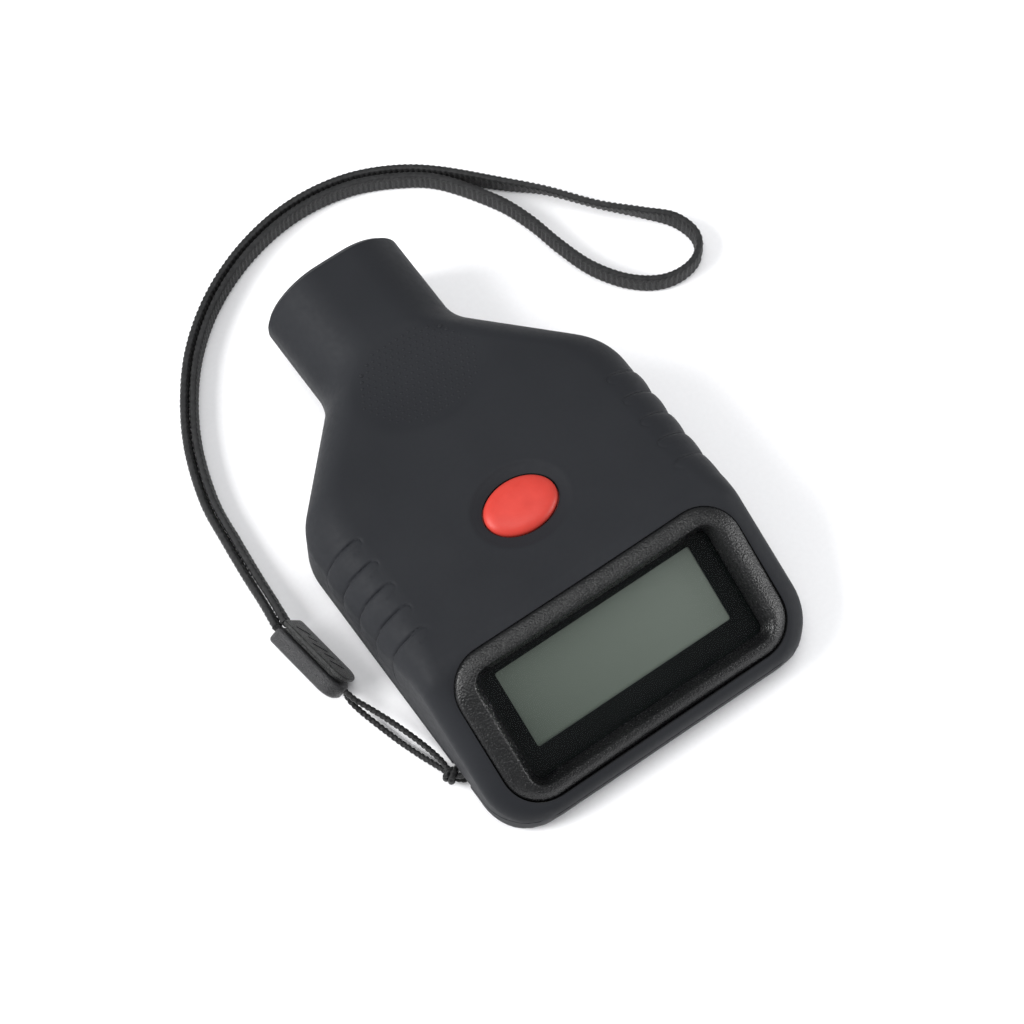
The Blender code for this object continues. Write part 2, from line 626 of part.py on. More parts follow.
def probe():
    """Housing and ring in the nose, and the sprung probe that slides in them."""
    abs_black = material("black_abs", (0.03, 0.03, 0.03), 0.5)
    chrome = material("chrome_steel", (0.62, 0.62, 0.63), 0.15, 1.0)
    copper = material("copper_wire", (0.70, 0.30, 0.14), 0.3, 1.0)
    ferrite = material("ferrite", (0.08, 0.08, 0.085), 0.6)
    spring = material("spring_steel", (0.50, 0.50, 0.50), 0.3, 1.0)
    housing = ((0.0086, -0.0043), (0.0086, -0.0222), (0.0015, -0.0222), (0.0015, -0.0207),
               (0.0073, -0.0207), (0.0073, -0.0043))
    turned_on_probe("probe_housing", housing, abs_black, closed=True)
    ring = ((0.0084, 0), (0.0090, -0.0006), (0.0090, -0.0040), (0.0067, -0.0040), (0.0067, -0.0006),
            (0.0073, 0))
    turned_on_probe("nose_ring", ring, abs_black, closed=True)
    sleeve = ((0.0059, 0.0002), (0.0064, -0.0003), (0.0064, -0.0043), (0.0070, -0.0043), (0.0070, -0.0062),
              (0.0064, -0.0062), (0.0064, -0.0132), (0.0049, -0.0132), (0.0049, -0.0010), (0.0019, -0.0010),
              (0.0019, 0.0002))
    turned_on_probe("probe_sleeve", sleeve, chrome, closed=True)
    end_cap = ((0, -0.0111), (0.0046, -0.0111), (0.0046, -0.0129), (0, -0.0129))
    turned_on_probe("probe_end_cap", end_cap, abs_black)
    turned_on_probe("probe_coil", tube_profile(0.0045, 0.0019, -0.0107, -0.0014), copper, closed=True)
    core = ((0, -0.0004), (0.0015, -0.0004), (0.0015, -0.0108), (0, -0.0108))
    turned_on_probe("probe_core", core, ferrite, steps=20)
    angles = np.radians((25, 50, 75, 90))
    dome = [(0.0014 * math.sin(a), PROBE_TIP - 0.0008 * (1 - math.cos(a))) for a in angles]
    tip = [(0, PROBE_TIP)] + dome + [(0.0014, -0.0001), (0, -0.0001)]
    turned_on_probe("probe_tip", tip, chrome, steps=20)
    coil = helix(4, 14, (0, NOSE_Y - 0.0200, PROBE_Z), (0, NOSE_Y - 0.0152, PROBE_Z), 0.0056, 0.0056)
    tube("probe_spring", coil, 0.0007, spring)
    wire = ((0, -0.0172, 0), (0, -0.0202, 0), (0, -0.0230, 0), (0.0010, -0.0249, 0.0006),
            (0.0025, -0.0267, 0.0016), (0.0040, -0.0287, 0.0022))
    wire = [Vector(point) + Vector((0, NOSE_Y, PROBE_Z)) for point in wire]
    tube("probe_cable", smooth(wire, 0.0022), 0.0012, abs_black)


# ---------------------------------------------------------------- batteries

def battery_tray():
    """A tray over the cells, open towards the back."""
    frame = material("black_abs", (0.03, 0.03, 0.03), 0.5)
    solid = bmesh.new()
    add_box(solid, (-0.0260, CELL_YS[0] - 0.0068, 0.0042), (0.0260, CELL_YS[1] + 0.0068, 0.0143))
    tray = finish("battery_tray", solid, frame)
    room = bmesh.new()
    add_box(room, (-0.0249, CELL_YS[0] - 0.0057, 0.0030), (0.0249, CELL_YS[1] + 0.0057, 0.0132))
    boolean(tray, "DIFFERENCE", finish("cut_cell_room", room))


def battery_cells():
    """Two AAA cells side by side, pointing opposite ways."""
    jacket = material("cell_jacket", (0.10, 0.22, 0.10), 0.35, 0.3)
    top = CELL_LENGTH / 2
    profile = ((0, top), (0.0019, top), (0.0019, top - 0.0010), (CELL_R - 0.0005, top - 0.0010),
               (CELL_R, top - 0.0015), (CELL_R, -top + 0.0005), (CELL_R - 0.0005, -top), (0, -top))
    for number, (y, facing) in enumerate(zip(CELL_YS, (1, -1)), start=1):
        cell = turned(f"battery_cell_{number}", profile, jacket, None, steps=24)
        cell.rotation_euler = (0, math.pi / 2 * facing, 0)
        cell.location = (0.00175 * facing, y, CELL_Z)


def battery_contacts():
    """A bridge plate at one end, two plates at the other, and a spring at each negative end."""
    nickel = material("nickel_plate", (0.60, 0.58, 0.54), 0.25, 1.0)
    first, second = CELL_YS
    plates = (
        ("contact_bridge", 0.0243, 0.0246, first - 0.0040, second + 0.0040),
        ("contact_positive", -0.0246, -0.0243, second - 0.0035, second + 0.0040),
        ("contact_negative", -0.0246, -0.0243, first - 0.0040, first + 0.0035),
    )
    for name, x_low, x_high, y_low, y_high in plates:
        sheet = bmesh.new()
        add_box(sheet, (x_low, y_low, CELL_Z - 0.0032), (x_high, y_high, CELL_Z + 0.0040))
        finish(name, sheet, nickel)
    for number, (y, side) in enumerate(zip(CELL_YS, (-1, 1)), start=1):
        start, end = (side * 0.02370, y, CELL_Z), (side * 0.02110, y, CELL_Z)
        tube(f"contact_spring_{number}", helix(3, 12, start, end, 0.0034, 0.0022), 0.0005, nickel)


def battery_door():
    """The cover plate on the back, hooked at its nose side."""
    rubber = material("door_black", (0.04, 0.04, 0.043), 0.55)
    solid = bmesh.new()
    add_box(solid, (-DOOR_X, DOOR_Y[0], 0.0), (DOOR_X, DOOR_Y[1], DOOR_THICK))
    door = finish("battery_door", solid, rubber)
    hooks = bmesh.new()
    for x in (-0.0150, 0.0150):
        add_box(hooks, (x - 0.003, DOOR_Y[1] - 0.0022, 0.0010), (x + 0.003, DOOR_Y[1], 0.0031))
    boolean(door, "UNION", finish("join_hook_roots", hooks))
    hooks = bmesh.new()
    for x in (-0.0150, 0.0150):
        add_box(hooks, (x - 0.003, DOOR_Y[1] - 0.0010, 0.0021), (x + 0.003, DOOR_Y[1] + 0.0019, 0.0031))
    boolean(door, "UNION", finish("join_hook_tips", hooks))
    grip = bmesh.new()
    add_cylinder(grip, (0, DOOR_Y[0] + 0.0045, -0.0036), 0.0045, 0.0120, "X", 32)
    boolean(door, "DIFFERENCE", finish("cut_finger_grip", grip))


# ---------------------------------------------------------------- strap

def offset_strand(side):
    """One strand of the pair, moved half the spacing to a side of the middle line."""
    out = []
    for i, (x, y, z, lean) in enumerate(WEB_PAIR):
        before, after = WEB_PAIR[max(i - 1, 0)], WEB_PAIR[min(i + 1, len(WEB_PAIR) - 1)]
        heading = Vector((after[0] - before[0], after[1] - before[1])).normalized()
        out.append((x - side * heading.y * WEB_SPACING / 2, y + side * heading.x * WEB_SPACING / 2, z, lean))
    return out


def wrist_strap():
    """Flat webbing standing on its edge: out along the pair, round the loop and back."""
    woven = material("webbing_black", (0.03, 0.03, 0.032), 0.8)
    route = offset_strand(1) + list(WEB_LOOP) + offset_strand(-1)[::-1]
    points = smooth(route, 0.0042)
    rings = []
    for i, point in enumerate(points):
        heading = points[min(i + 1, len(points) - 1)] - points[max(i - 1, 0)]
        across = Vector((-heading[1], heading[0], 0)).normalized()
        going_back = i > len(points) / 2
        lean = math.radians(-point[3] if going_back else point[3])
        face = across * math.cos(lean) + Vector((0, 0, -math.sin(lean)))
        up = across * math.sin(lean) + Vector((0, 0, math.cos(lean)))
        middle = Vector(point[:3])
        rings.append([middle + face * WEB_THICK / 2 * a + up * WEB_WIDTH / 2 * b
                      for a, b in ((-1, -1), (1, -1), (1, 1), (-1, 1))])
    loft("wrist_strap", rings, woven)


def strap_thread():
    """A thin cord from the clip, round the pin in the body and back, and the hitch round it."""
    braid = material("braid_black", (0.02, 0.02, 0.022), 0.7)
    tube("strap_thread", smooth(THREAD_ROUTE, 0.0012), THREAD_D, braid)
    hitch = []
    for i in range(18):
        angle = math.tau * i / 18
        side, rise = HITCH_HALF[0] * math.cos(angle), HITCH_HALF[1] * math.sin(angle)
        hitch.append(HITCH_CENTRE + HITCH_ACROSS * side + Vector((0, 0, rise)))
    tube("strap_hitch", hitch, THREAD_D, braid, cyclic=True)


def strap_pin():
    steel = material("pin_steel", (0.55, 0.55, 0.56), 0.3, 1.0)
    rod = bmesh.new()
    add_cylinder(rod, PIN, 0.0005, 0.0072, "Y", 12)
    finish("strap_pin", rod, steel)


def strap_clip():
    """Two halves of a flat clip lying on one long edge and leaning outwards."""
    grained = material("clip_black", (0.05, 0.05, 0.052), 0.5)
    length, thick, width = CLIP_SIZE / 2
    clip = bpy.data.objects.new("clip_frame", None)
    CUTTERS.objects.link(clip)
    clip.location = CLIP_CENTRE
    lean = Matrix.Rotation(CLIP_LEAN, 4, "X")
    clip.rotation_euler = (Matrix.Rotation(CLIP_HEADING, 4, "Z") @ lean).to_euler()
    halves = (
        ("strap_clip_body", -thick, thick - 0.0012, 0.0),
        ("strap_clip_cover", thick - 0.0009, thick, 0.0004),
    )
    for name, y_low, y_high, inset in halves:
        corners = ((length - inset, -width + inset, 0.0030), (length - inset, width - inset, 0.0030),
                   (-length + inset, width - inset, 0.0008), (-length + inset, -width + inset, 0.0008))
        outline = rounded_path(corners, 5, closed=True)
        rings = [[(p.x, y, p.y) for p in outline] for y in (y_low, y_high)]
        half = loft(name, rings, grained, clip)
        bevel(half, 0.0003, 1, 60)


# ---------------------------------------------------------------- build

clear_scene()
PARTS = new_collection("thickness_gauge")
CUTTERS = new_collection("cutters")
DISPLAY = bpy.data.objects.new("display_frame", None)
CUTTERS.objects.link(DISPLAY)
DISPLAY.location = (0, BEZEL_TOP_EDGE[0] - BEZEL_HALF[1] * math.cos(TILT),
                    BEZEL_TOP_EDGE[1] - BEZEL_HALF[1] * math.sin(TILT))
DISPLAY.rotation_euler = (TILT, 0, 0)
PROBE_AXIS = bpy.data.objects.new("probe_axis", None)
CUTTERS.objects.link(PROBE_AXIS)
PROBE_AXIS.location = (0, NOSE_Y, PROBE_Z)
PROBE_AXIS.rotation_euler = (-math.pi / 2, 0, 0)

casing()
case_screws()
display_bezel()
display_stack()
main_board()
board_parts()
flex_ribbon()
switch_and_button()
probe()
battery_tray()
battery_cells()
battery_contacts()
battery_door()
strap_pin()
strap_thread()
strap_clip()
wrist_strap()
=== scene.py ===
"""Looks of the coating thickness gauge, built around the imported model.

Metres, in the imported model's own frame: +Z up, the probe nose along +Y.
"""
import math

import bmesh
import bpy
import numpy as np
from mathutils import Matrix, Vector


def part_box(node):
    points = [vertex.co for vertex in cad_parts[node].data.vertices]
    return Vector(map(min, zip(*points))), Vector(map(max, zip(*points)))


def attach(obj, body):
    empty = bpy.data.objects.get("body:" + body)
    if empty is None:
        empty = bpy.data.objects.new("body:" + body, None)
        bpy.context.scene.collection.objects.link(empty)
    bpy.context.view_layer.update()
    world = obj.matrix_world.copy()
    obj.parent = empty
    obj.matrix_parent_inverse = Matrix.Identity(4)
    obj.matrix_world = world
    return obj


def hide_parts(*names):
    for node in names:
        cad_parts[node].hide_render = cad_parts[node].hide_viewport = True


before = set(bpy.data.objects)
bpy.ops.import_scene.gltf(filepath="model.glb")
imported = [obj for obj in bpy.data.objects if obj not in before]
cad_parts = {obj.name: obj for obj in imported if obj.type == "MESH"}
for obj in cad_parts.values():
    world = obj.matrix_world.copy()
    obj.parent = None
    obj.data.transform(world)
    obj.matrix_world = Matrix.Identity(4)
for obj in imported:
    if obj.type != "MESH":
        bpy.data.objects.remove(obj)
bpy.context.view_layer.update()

# Camera and light
CAMERA_TARGET = Vector((0.000694, -0.003961, 0.0120))
CAMERA_AZIMUTH = math.radians(-35.388)
CAMERA_ELEVATION = math.radians(66.124)
CAMERA_DISTANCE = 0.6619
CAMERA_LENS = 131.56
SENSOR = 36.0  # mm, like the lens
FLOOR_HALF = 2.0
SKY = (0.97, 0.98, 1.0, 1)
SKY_STRENGTH = 0.47
# name, place, size and power; each is aimed at the origin
LIGHTS = (
    ("key", (-0.62, 0.22, 0.50), (0.42, 0.42), 8.6),
    ("overhead", (0.0, -0.06, 0.95), (0.60, 0.60), 4.6),
    ("low_fill", (0.54, -0.38, 0.16), (0.30, 0.20), 2.4),
)

# Body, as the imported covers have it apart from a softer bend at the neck
END_Y = -0.0528
NOSE_Y = 0.0520
HALF_WIDTH = 0.0335
NOSE_HALF_WIDTH = 0.0142
SHOULDER_Y = 0.0116
NECK_Y = 0.0321
END_CORNER_R = 0.0095
SHOULDER_R = 0.0120
NECK_R = 0.0085
DECK_Z = 0.0230
END_TOP_Z = 0.0082
CREST_Y = -0.0247
END_TOP_R = 0.0030
CREST_R = 0.0100
END_FOOT_R = 0.0040
NOSE_CHAMFER = 0.0008
CROWN = 0.0009
WALL = 0.0018
GAP = 0.0003
SPLIT_Z = 0.0055
SMALLEST_EDGE_R = 0.0008
# Radii of the long edges, as (y, radius)
EDGE_R_TOP = (
    (-0.053, 0.0030), (-0.026, 0.0042), (-0.014, 0.0076), (0.016, 0.0086), (0.034, 0.0110),
)
EDGE_R_FOOT = ((-0.053, 0.0030), (-0.042, 0.0050), (0.016, 0.0060), (0.034, 0.0106))
SCREW_PLACES = ((-0.0290, -0.0298), (0.0290, -0.0298), (-0.0240, 0.0127), (0.0240, 0.0127))
# Boss, head recess and shank hole of a screw: height of the middle, radius and length
SCREW_STEPS = (
    ("UNION", 0.0033, 0.0034, 0.0034),
    ("DIFFERENCE", 0.0, 0.0025, 0.0062),
    ("DIFFERENCE", 0.0040, 0.0014, 0.0120),
)
DOOR_X = 0.0253
DOOR_Y = (-0.0201, 0.0049)
# (inset, height) of the door plate's outlines, lowest first
DOOR_LAYERS = ((0.0004, 0.0), (0.0001, 0.0002), (0.0, 0.0005), (0.0, 0.0016))
HOOK_X = 0.0150
HOOK_HALF = 0.003
THUMB_HALF = (0.0062, 0.0030, 0.0014)
# Steps round half a section of the body: foot, lower arc, side, upper arc and deck
SKIN_STEPS = (8, 12, 22, 56, 60)
BACK_STEPS = (8, 12, 22, 12, 8)
HOLLOW_STEPS = (3, 5, 4, 8, 6)

# Display frame: tilted about X, its origin in the middle of the bezel's outer face
TILT = math.radians(28.3)
BEZEL_HALF = (0.0297, 0.0148)
BEZEL_TOP_EDGE = (-0.0253, 0.0228)
BEZEL_R = 0.0075
BEZEL_HOLE_R = 0.0077
BEZEL_BACK_Z = -0.0032
BEZEL_RIM = 0.0005  # radius of the outer edge, and how far the rim drops towards the wide end
BEZEL_CREST_Z = 0.0010
BEZEL_CREST_SHARE = 0.68
BEZEL_LIP_SHARE = 0.1
BEZEL_FOOT_Z = -0.0018
BEZEL_LEDGE_Z = -0.0019
WINDOW_R = 0.0016
WINDOW_HALF = (0.0243, 0.0106)
WINDOW_Y = -0.0002
POCKET_HALF = (0.0256, 0.0121)
POCKET_R = 0.0020
POCKET_Y = -0.00045
DISPLAY = Matrix.Translation((0, BEZEL_TOP_EDGE[0] - BEZEL_HALF[1] * math.cos(TILT),
                              BEZEL_TOP_EDGE[1] - BEZEL_HALF[1] * math.sin(TILT)))
DISPLAY = DISPLAY @ Matrix.Rotation(TILT, 4, "X")

# Finger pad, button, grips and probe
PAD_Y = 0.0235
PAD_HALF = (0.0131, 0.0100)
PAD_DEPTH = 0.0009
DOT_PITCH = 0.0013
DOT_R = 0.00036
DOT_ROW_SHARE = 0.87  # of the pitch, from row to row
DOT_AREA_SHARE = 0.80  # of the pad
BUTTON_Y = -0.0075
BUTTON_HALF = (0.0071, 0.0051)
BUTTON_SHOULDER_Z = 0.0208
BUTTON_BROW_Z = 0.0222
DISH_HALF = (0.0093, 0.0076)
DISH_DEPTH = 0.0013
GRIP_FIRST_Y = 0.0038
GRIP_PITCH = 0.00503
GRIP_COUNT = 5
GRIP_RANGE = (GRIP_FIRST_Y - GRIP_COUNT * GRIP_PITCH - 0.002, GRIP_FIRST_Y + 0.0012)
GRIP_DEPTH = 0.00030
GRIP_HALF_WIDTH = 0.00017
RIDGE_RISE = 0.00040
PROBE_Z = 0.0114
NOSE_HOLE_R = 0.0093
NOSE_HOLE_DEPTH = 0.0060
TIP_R = 0.0014
TIP_RISE = 0.0008
# Turned profiles as (radius, distance ahead of the nose)
RING_PROFILE = (
    (0.0082, 0.0), (0.0086, -0.0001), (0.0089, -0.0004), (0.0090, -0.0007), (0.0090, -0.0040),
    (0.0067, -0.0040), (0.0067, -0.0008), (0.0069, -0.0003), (0.0074, 0.0),
)
SLEEVE_PROFILE = (
    (0.0057, 0.0002), (0.0061, 0.0001), (0.0064, -0.0003), (0.0064, -0.0043), (0.0070, -0.0043),
    (0.0070, -0.0062), (0.0064, -0.0062), (0.0064, -0.0132), (0.0049, -0.0132), (0.0049, -0.0010),
    (0.0019, -0.0010), (0.0019, 0.0), (0.0021, 0.0002),
)

# Strap
PIN = Vector((-0.0320, -0.0368, 0.0031))
PIN_R = 0.0008
PIN_LENGTH = 0.0078
# Block round the pin and the slot through it: range of x, reach either way along y, range of z
PIN_BLOCK = ((-0.0321, -0.0285), 0.0045, (0.0017, 0.0051))
PIN_SLOT = ((-0.0350, -0.0295), 0.0029, (PIN.z - 0.0022, PIN.z + 0.0026))
THREAD_D = 0.0010
WEB_WIDTH = 0.0046
WEB_THICK = 0.0011
WEB_SPACING = 0.00175
NAP = 0.00026
RIB_PITCH = 0.00105
RIB_RISE = 0.00019
CLIP_SIZE = Vector((0.0157, 0.0048, 0.0073))
CLIP_END_R = 0.0030
CLIP_HEEL_R = 0.0009
CLIP_STROKES = (0.0034, 0.0022, 0.0038, 0.0026, 0.0034)
CLIP_STROKE_SLANT = math.radians(52)
# The clip's own frame: X along it, Y through its cover
CLIP = Matrix.Translation((-0.04224, -0.00418, 0.00450))
CLIP = CLIP @ Matrix.Rotation(math.radians(-82.2), 4, "Z") @ Matrix.Rotation(math.radians(29.6), 4, "X")
# The pair of strands: (x, y, z of the middle, lean from upright in degrees)
WEB_PAIR = (
    (-0.0432, 0.0042, 0.0045, 16), (-0.0426, 0.0094, 0.0039, 12), (-0.0420, 0.0161, 0.0031, 13),
    (-0.0412, 0.0238, 0.0027, 13), (-0.0401, 0.0325, 0.0025, 10), (-0.0369, 0.0424, 0.0024, 6),
    (-0.0323, 0.0510, 0.0024, 1), (-0.0262, 0.0588, 0.0024, 0), (-0.0185, 0.0652, 0.0024, -1),
    (-0.0097, 0.0698, 0.0024, 0), (-0.0004, 0.0725, 0.0024, 0), (0.0085, 0.0731, 0.0024, 0),
    (0.0173, 0.0716, 0.0024, 0), (0.0252, 0.0680, 0.0024, 0), (0.0317, 0.0630, 0.0024, 0),
)
# The open loop, from where the outer strand parts to where the inner strand joins
WEB_LOOP = (
    (0.0404, 0.0553, 0.0025, -7), (0.0463, 0.0493, 0.0026, -20), (0.0524, 0.0414, 0.0026, -22),
    (0.0583, 0.0351, 0.0025, -12), (0.0623, 0.0304, 0.0024, 0), (0.0634, 0.0254, 0.0024, 2),
    (0.0611, 0.0218, 0.0024, 1), (0.0568, 0.0206, 0.0024, 0), (0.0520, 0.0217, 0.0024, 0),
    (0.0474, 0.0254, 0.0024, 0), (0.0437, 0.0313, 0.0024, 0), (0.0416, 0.0382, 0.0024, 0),
    (0.0400, 0.0458, 0.0024, 0), (0.0373, 0.0529, 0.0024, 0),
)
# From the clip to the hitch, round the pin, and back through the hitch to the clip
THREAD_ROUTE = (
    (-0.0412, -0.0124, 0.0048), (-0.0407, -0.0145, 0.0046), (-0.0398, -0.0165, 0.0043),
    (-0.0382, -0.0201, 0.0039), (-0.0367, -0.0241, 0.0036), (-0.0354, -0.0283, 0.0034),
    (-0.0346, -0.0320, 0.0033), (-0.0345, -0.0341, 0.0033), (-0.0343, -0.0355, 0.0033),
    (-0.0338, -0.0365, 0.0036), (-0.0330, -0.0371, 0.0042), (-0.0319, -0.0373, 0.0045),
    (-0.0306, -0.0373, 0.0031), (-0.0319, -0.0372, 0.0017), (-0.0330, -0.0370, 0.0017),
    (-0.0338, -0.0364, 0.0019), (-0.0343, -0.0355, 0.0020), (-0.0347, -0.0341, 0.0018),
    (-0.0354, -0.0320, 0.0014), (-0.0365, -0.0288, 0.0009), (-0.0379, -0.0246, 0.0007),
    (-0.0392, -0.0205, 0.0011), (-0.0405, -0.0163, 0.0019), (-0.0411, -0.0141, 0.0028),
    (-0.0412, -0.0124, 0.0036),
)
HITCH_CENTRE = Vector((-0.0344, -0.0353, 0.00265))
HITCH_ACROSS = Vector((0.94, 0.34, 0.0))
HITCH_HALF = (0.0011, 0.0014)
HITCH_DEPTH = 0.0006
BRAID_LAY = 0.0010
BRAID_RISE = 0.17


# ---------------------------------------------------------------- camera and light

def aimed(name, data, place, heading):
    """An object that looks along heading from place."""
    thing = bpy.data.objects.new(name, data)
    bpy.context.scene.collection.objects.link(thing)
    thing.location = place
    thing.rotation_mode = "QUATERNION"
    thing.rotation_quaternion = heading.to_track_quat("-Z", "Y")
    return thing


def camera():
    level = math.cos(CAMERA_ELEVATION)
    back = Vector((math.sin(CAMERA_AZIMUTH) * level, -math.cos(CAMERA_AZIMUTH) * level,
                   math.sin(CAMERA_ELEVATION)))
    data = bpy.data.cameras.new("camera")
    data.lens = CAMERA_LENS
    data.sensor_width = SENSOR
    place = CAMERA_TARGET + back * CAMERA_DISTANCE
    bpy.context.scene.camera = aimed("camera", data, place, -back)


def area_light(name, place, size, power):
    data = bpy.data.lights.new(name, "AREA")
    data.shape = "RECTANGLE"
    data.size, data.size_y = size
    data.energy = power
    aimed(name, data, place, -Vector(place))


def studio():
    """A pale floor, a large soft light from the left, weaker ones overhead and low right, a pale sky."""
    for light in LIGHTS:
        area_light(*light)
    world = bpy.data.worlds.new("studio")
    world.use_nodes = True
    sky = world.node_tree.nodes["Background"].inputs
    sky["Color"].default_value = SKY
    sky["Strength"].default_value = SKY_STRENGTH
    bpy.context.scene.world = world
    bpy.context.scene.view_settings.view_transform = "Standard"
    bm = bmesh.new()
    bmesh.ops.create_grid(bm, x_segments=2, y_segments=2, size=FLOOR_HALF)
    mesh = bpy.data.meshes.new("floor")
    bm.to_mesh(mesh)
    bm.free()
    floor = bpy.data.objects.new("floor", mesh)
    bpy.context.scene.collection.objects.link(floor)
    mesh.materials.append(paper())


# ---------------------------------------------------------------- materials

def add(tree, kind, values=None, **settings):
    """A shader node with its input values and its settings."""
    made = tree.nodes.new("ShaderNode" + kind)
    for key, value in settings.items():
        setattr(made, key, value)
    for key, value in (values or {}).items():
        made.inputs[key].default_value = value
    return made


def new_look(name, roughness, metallic=0.0, specular=0.5):
    """A new material, its node tree and its shader."""
    made = bpy.data.materials.new(name)
    made.use_nodes = True
    tree = made.node_tree
    shader = tree.nodes["Principled BSDF"]
    shader.inputs["Roughness"].default_value = roughness
    shader.inputs["Metallic"].default_value = metallic
    shader.inputs["Specular IOR Level"].default_value = specular
    return made, tree, shader


def place_of(tree, squeeze=(1, 1, 1)):
    """The point on the object in metres, scaled by squeeze."""
    coordinates = add(tree, "TexCoord")
    mapping = add(tree, "Mapping", {"Scale": squeeze})
    tree.links.new(coordinates.outputs["Object"], mapping.inputs["Vector"])
    return mapping.outputs["Vector"]


def noise(tree, place, size, detail=2.0):
    """Noise from 0 to 1 whose features are about size metres."""
    made = add(tree, "TexNoise", {"Scale": 1.0 / size, "Detail": detail})
    tree.links.new(place, made.inputs["Vector"])
    return made.outputs["Fac"]


def between(tree, amount, low, high, start=0.3, end=0.7):
    """A colour between low and high."""
    ramp = add(tree, "ValToRGB")
    ends = ramp.color_ramp.elements
    ends[0].color, ends[1].color = (*low, 1), (*high, 1)
    ends[0].position, ends[1].position = start, end
    tree.links.new(amount, ramp.inputs["Fac"])
    return ramp.outputs["Color"]


def spread(tree, amount, low, high, start=0.3, end=0.7):
    """A number between low and high."""
    made = add(tree, "MapRange", {"From Min": start, "From Max": end, "To Min": low, "To Max": high})
    tree.links.new(amount, made.inputs["Value"])
    return made.outputs["Result"]


def bump(tree, shader, heights):
    """Surface relief from (height, depth in metres) pairs, one over the other."""
    normal = None
    for height, depth in heights:
        made = add(tree, "Bump", {"Strength": 1.0, "Distance": depth})
        tree.links.new(height, made.inputs["Height"])
        if normal:
            tree.links.new(normal, made.inputs["Normal"])
        normal = made.outputs["Normal"]
    tree.links.new(normal, shader.inputs["Normal"])


def moulded(name, low, high, roughness, grain, depth, metallic=0.0, specular=0.5, squeeze=(1, 1, 1)):
    """Moulded, coated or rolled stock: slow colour drift, uneven gloss and a fine grain."""
    made, tree, shader = new_look(name, roughness, metallic, specular)
    place = place_of(tree, squeeze)
    drift, fine = noise(tree, place, 0.012, 3.0), noise(tree, place, grain, 2.0)
    tree.links.new(between(tree, drift, low, high), shader.inputs["Base Color"])
    tree.links.new(spread(tree, fine, roughness - 0.06, roughness + 0.06), shader.inputs["Roughness"])
    bump(tree, shader, ((fine, depth),))
    return made


def paper():
    """The floor's matt paper."""
    made, tree, shader = new_look("floor_paper", 0.9, specular=0.1)
    fine = noise(tree, place_of(tree), 0.0008)
    tree.links.new(between(tree, fine, (0.90, 0.90, 0.91), (0.92, 0.92, 0.93)),
                   shader.inputs["Base Color"])
    return made


def soft_touch(name="soft_touch"):
    """Matt rubbery coat: a very fine tooth over a slow drift, with worn gloss in patches."""
    made, tree, shader = new_look(name, 0.55, specular=0.11)
    place = place_of(tree)
    drift, tooth = noise(tree, place, 0.022, 3.0), noise(tree, place, 0.00013, 2.0)
    speck = noise(tree, place, 0.0011, 4.0)
    low, high = (0.0125, 0.0134, 0.0158), (0.0152, 0.0162, 0.0188)
    tree.links.new(between(tree, drift, low, high), shader.inputs["Base Color"])
    tree.links.new(spread(tree, speck, 0.54, 0.64), shader.inputs["Roughness"])
    shader.inputs["Sheen Weight"].default_value = 0.03
    shader.inputs["Sheen Roughness"].default_value = 0.5
    bump(tree, shader, ((speck, 0.000012), (tooth, 0.000009)))
    return made


def grained_frame():
    """Semi-gloss black with the coarse grain of a spark-eroded mould."""
    made, tree, shader = new_look("grained_frame", 0.30, specular=0.36)
    place = place_of(tree)
    cells = add(tree, "TexVoronoi", {"Scale": 1 / 0.00030}, feature="SMOOTH_F1")
    tree.links.new(place, cells.inputs["Vector"])
    fine = noise(tree, place, 0.00036, 3.0)
    drift = noise(tree, place, 0.006, 2.0)
    tree.links.new(between(tree, drift, (0.0036, 0.0038, 0.0041), (0.0062, 0.0064, 0.0067)),
                   shader.inputs["Base Color"])
    tree.links.new(spread(tree, fine, 0.22, 0.34), shader.inputs["Roughness"])
    bump(tree, shader, ((cells.outputs["Distance"], 0.00004), (fine, 0.00015)))
    return made


def window_acrylic():
    """Clear sheet: nearly all seen through, with faint hairlines in its gloss."""
    made, tree, shader = new_look("window_acrylic", 0.03, specular=0.5)
    shader.inputs["Base Color"].default_value = (0.02, 0.024, 0.024, 1)
    shader.inputs["Alpha"].default_value = 0.05
    hair = noise(tree, place_of(tree, (1.0, 9.0, 1.0)), 0.0006, 2.0)
    tree.links.new(spread(tree, hair, 0.02, 0.06), shader.inputs["Roughness"])
    made.blend_method = "BLEND"
    return made


def mask_ink():
    """Black ink printed behind the window, glossy where it is seen through it."""
    made, tree, shader = new_look("mask_ink", 0.30, specular=0.07)
    place = place_of(tree)
    drift, fine = noise(tree, place, 0.009), noise(tree, place, 0.0004)
    tree.links.new(between(tree, drift, (0.0016, 0.0022, 0.0022), (0.0028, 0.0036, 0.0036)),
                   shader.inputs["Base Color"])
    tree.links.new(spread(tree, fine, 0.27, 0.33), shader.inputs["Roughness"])
    return made


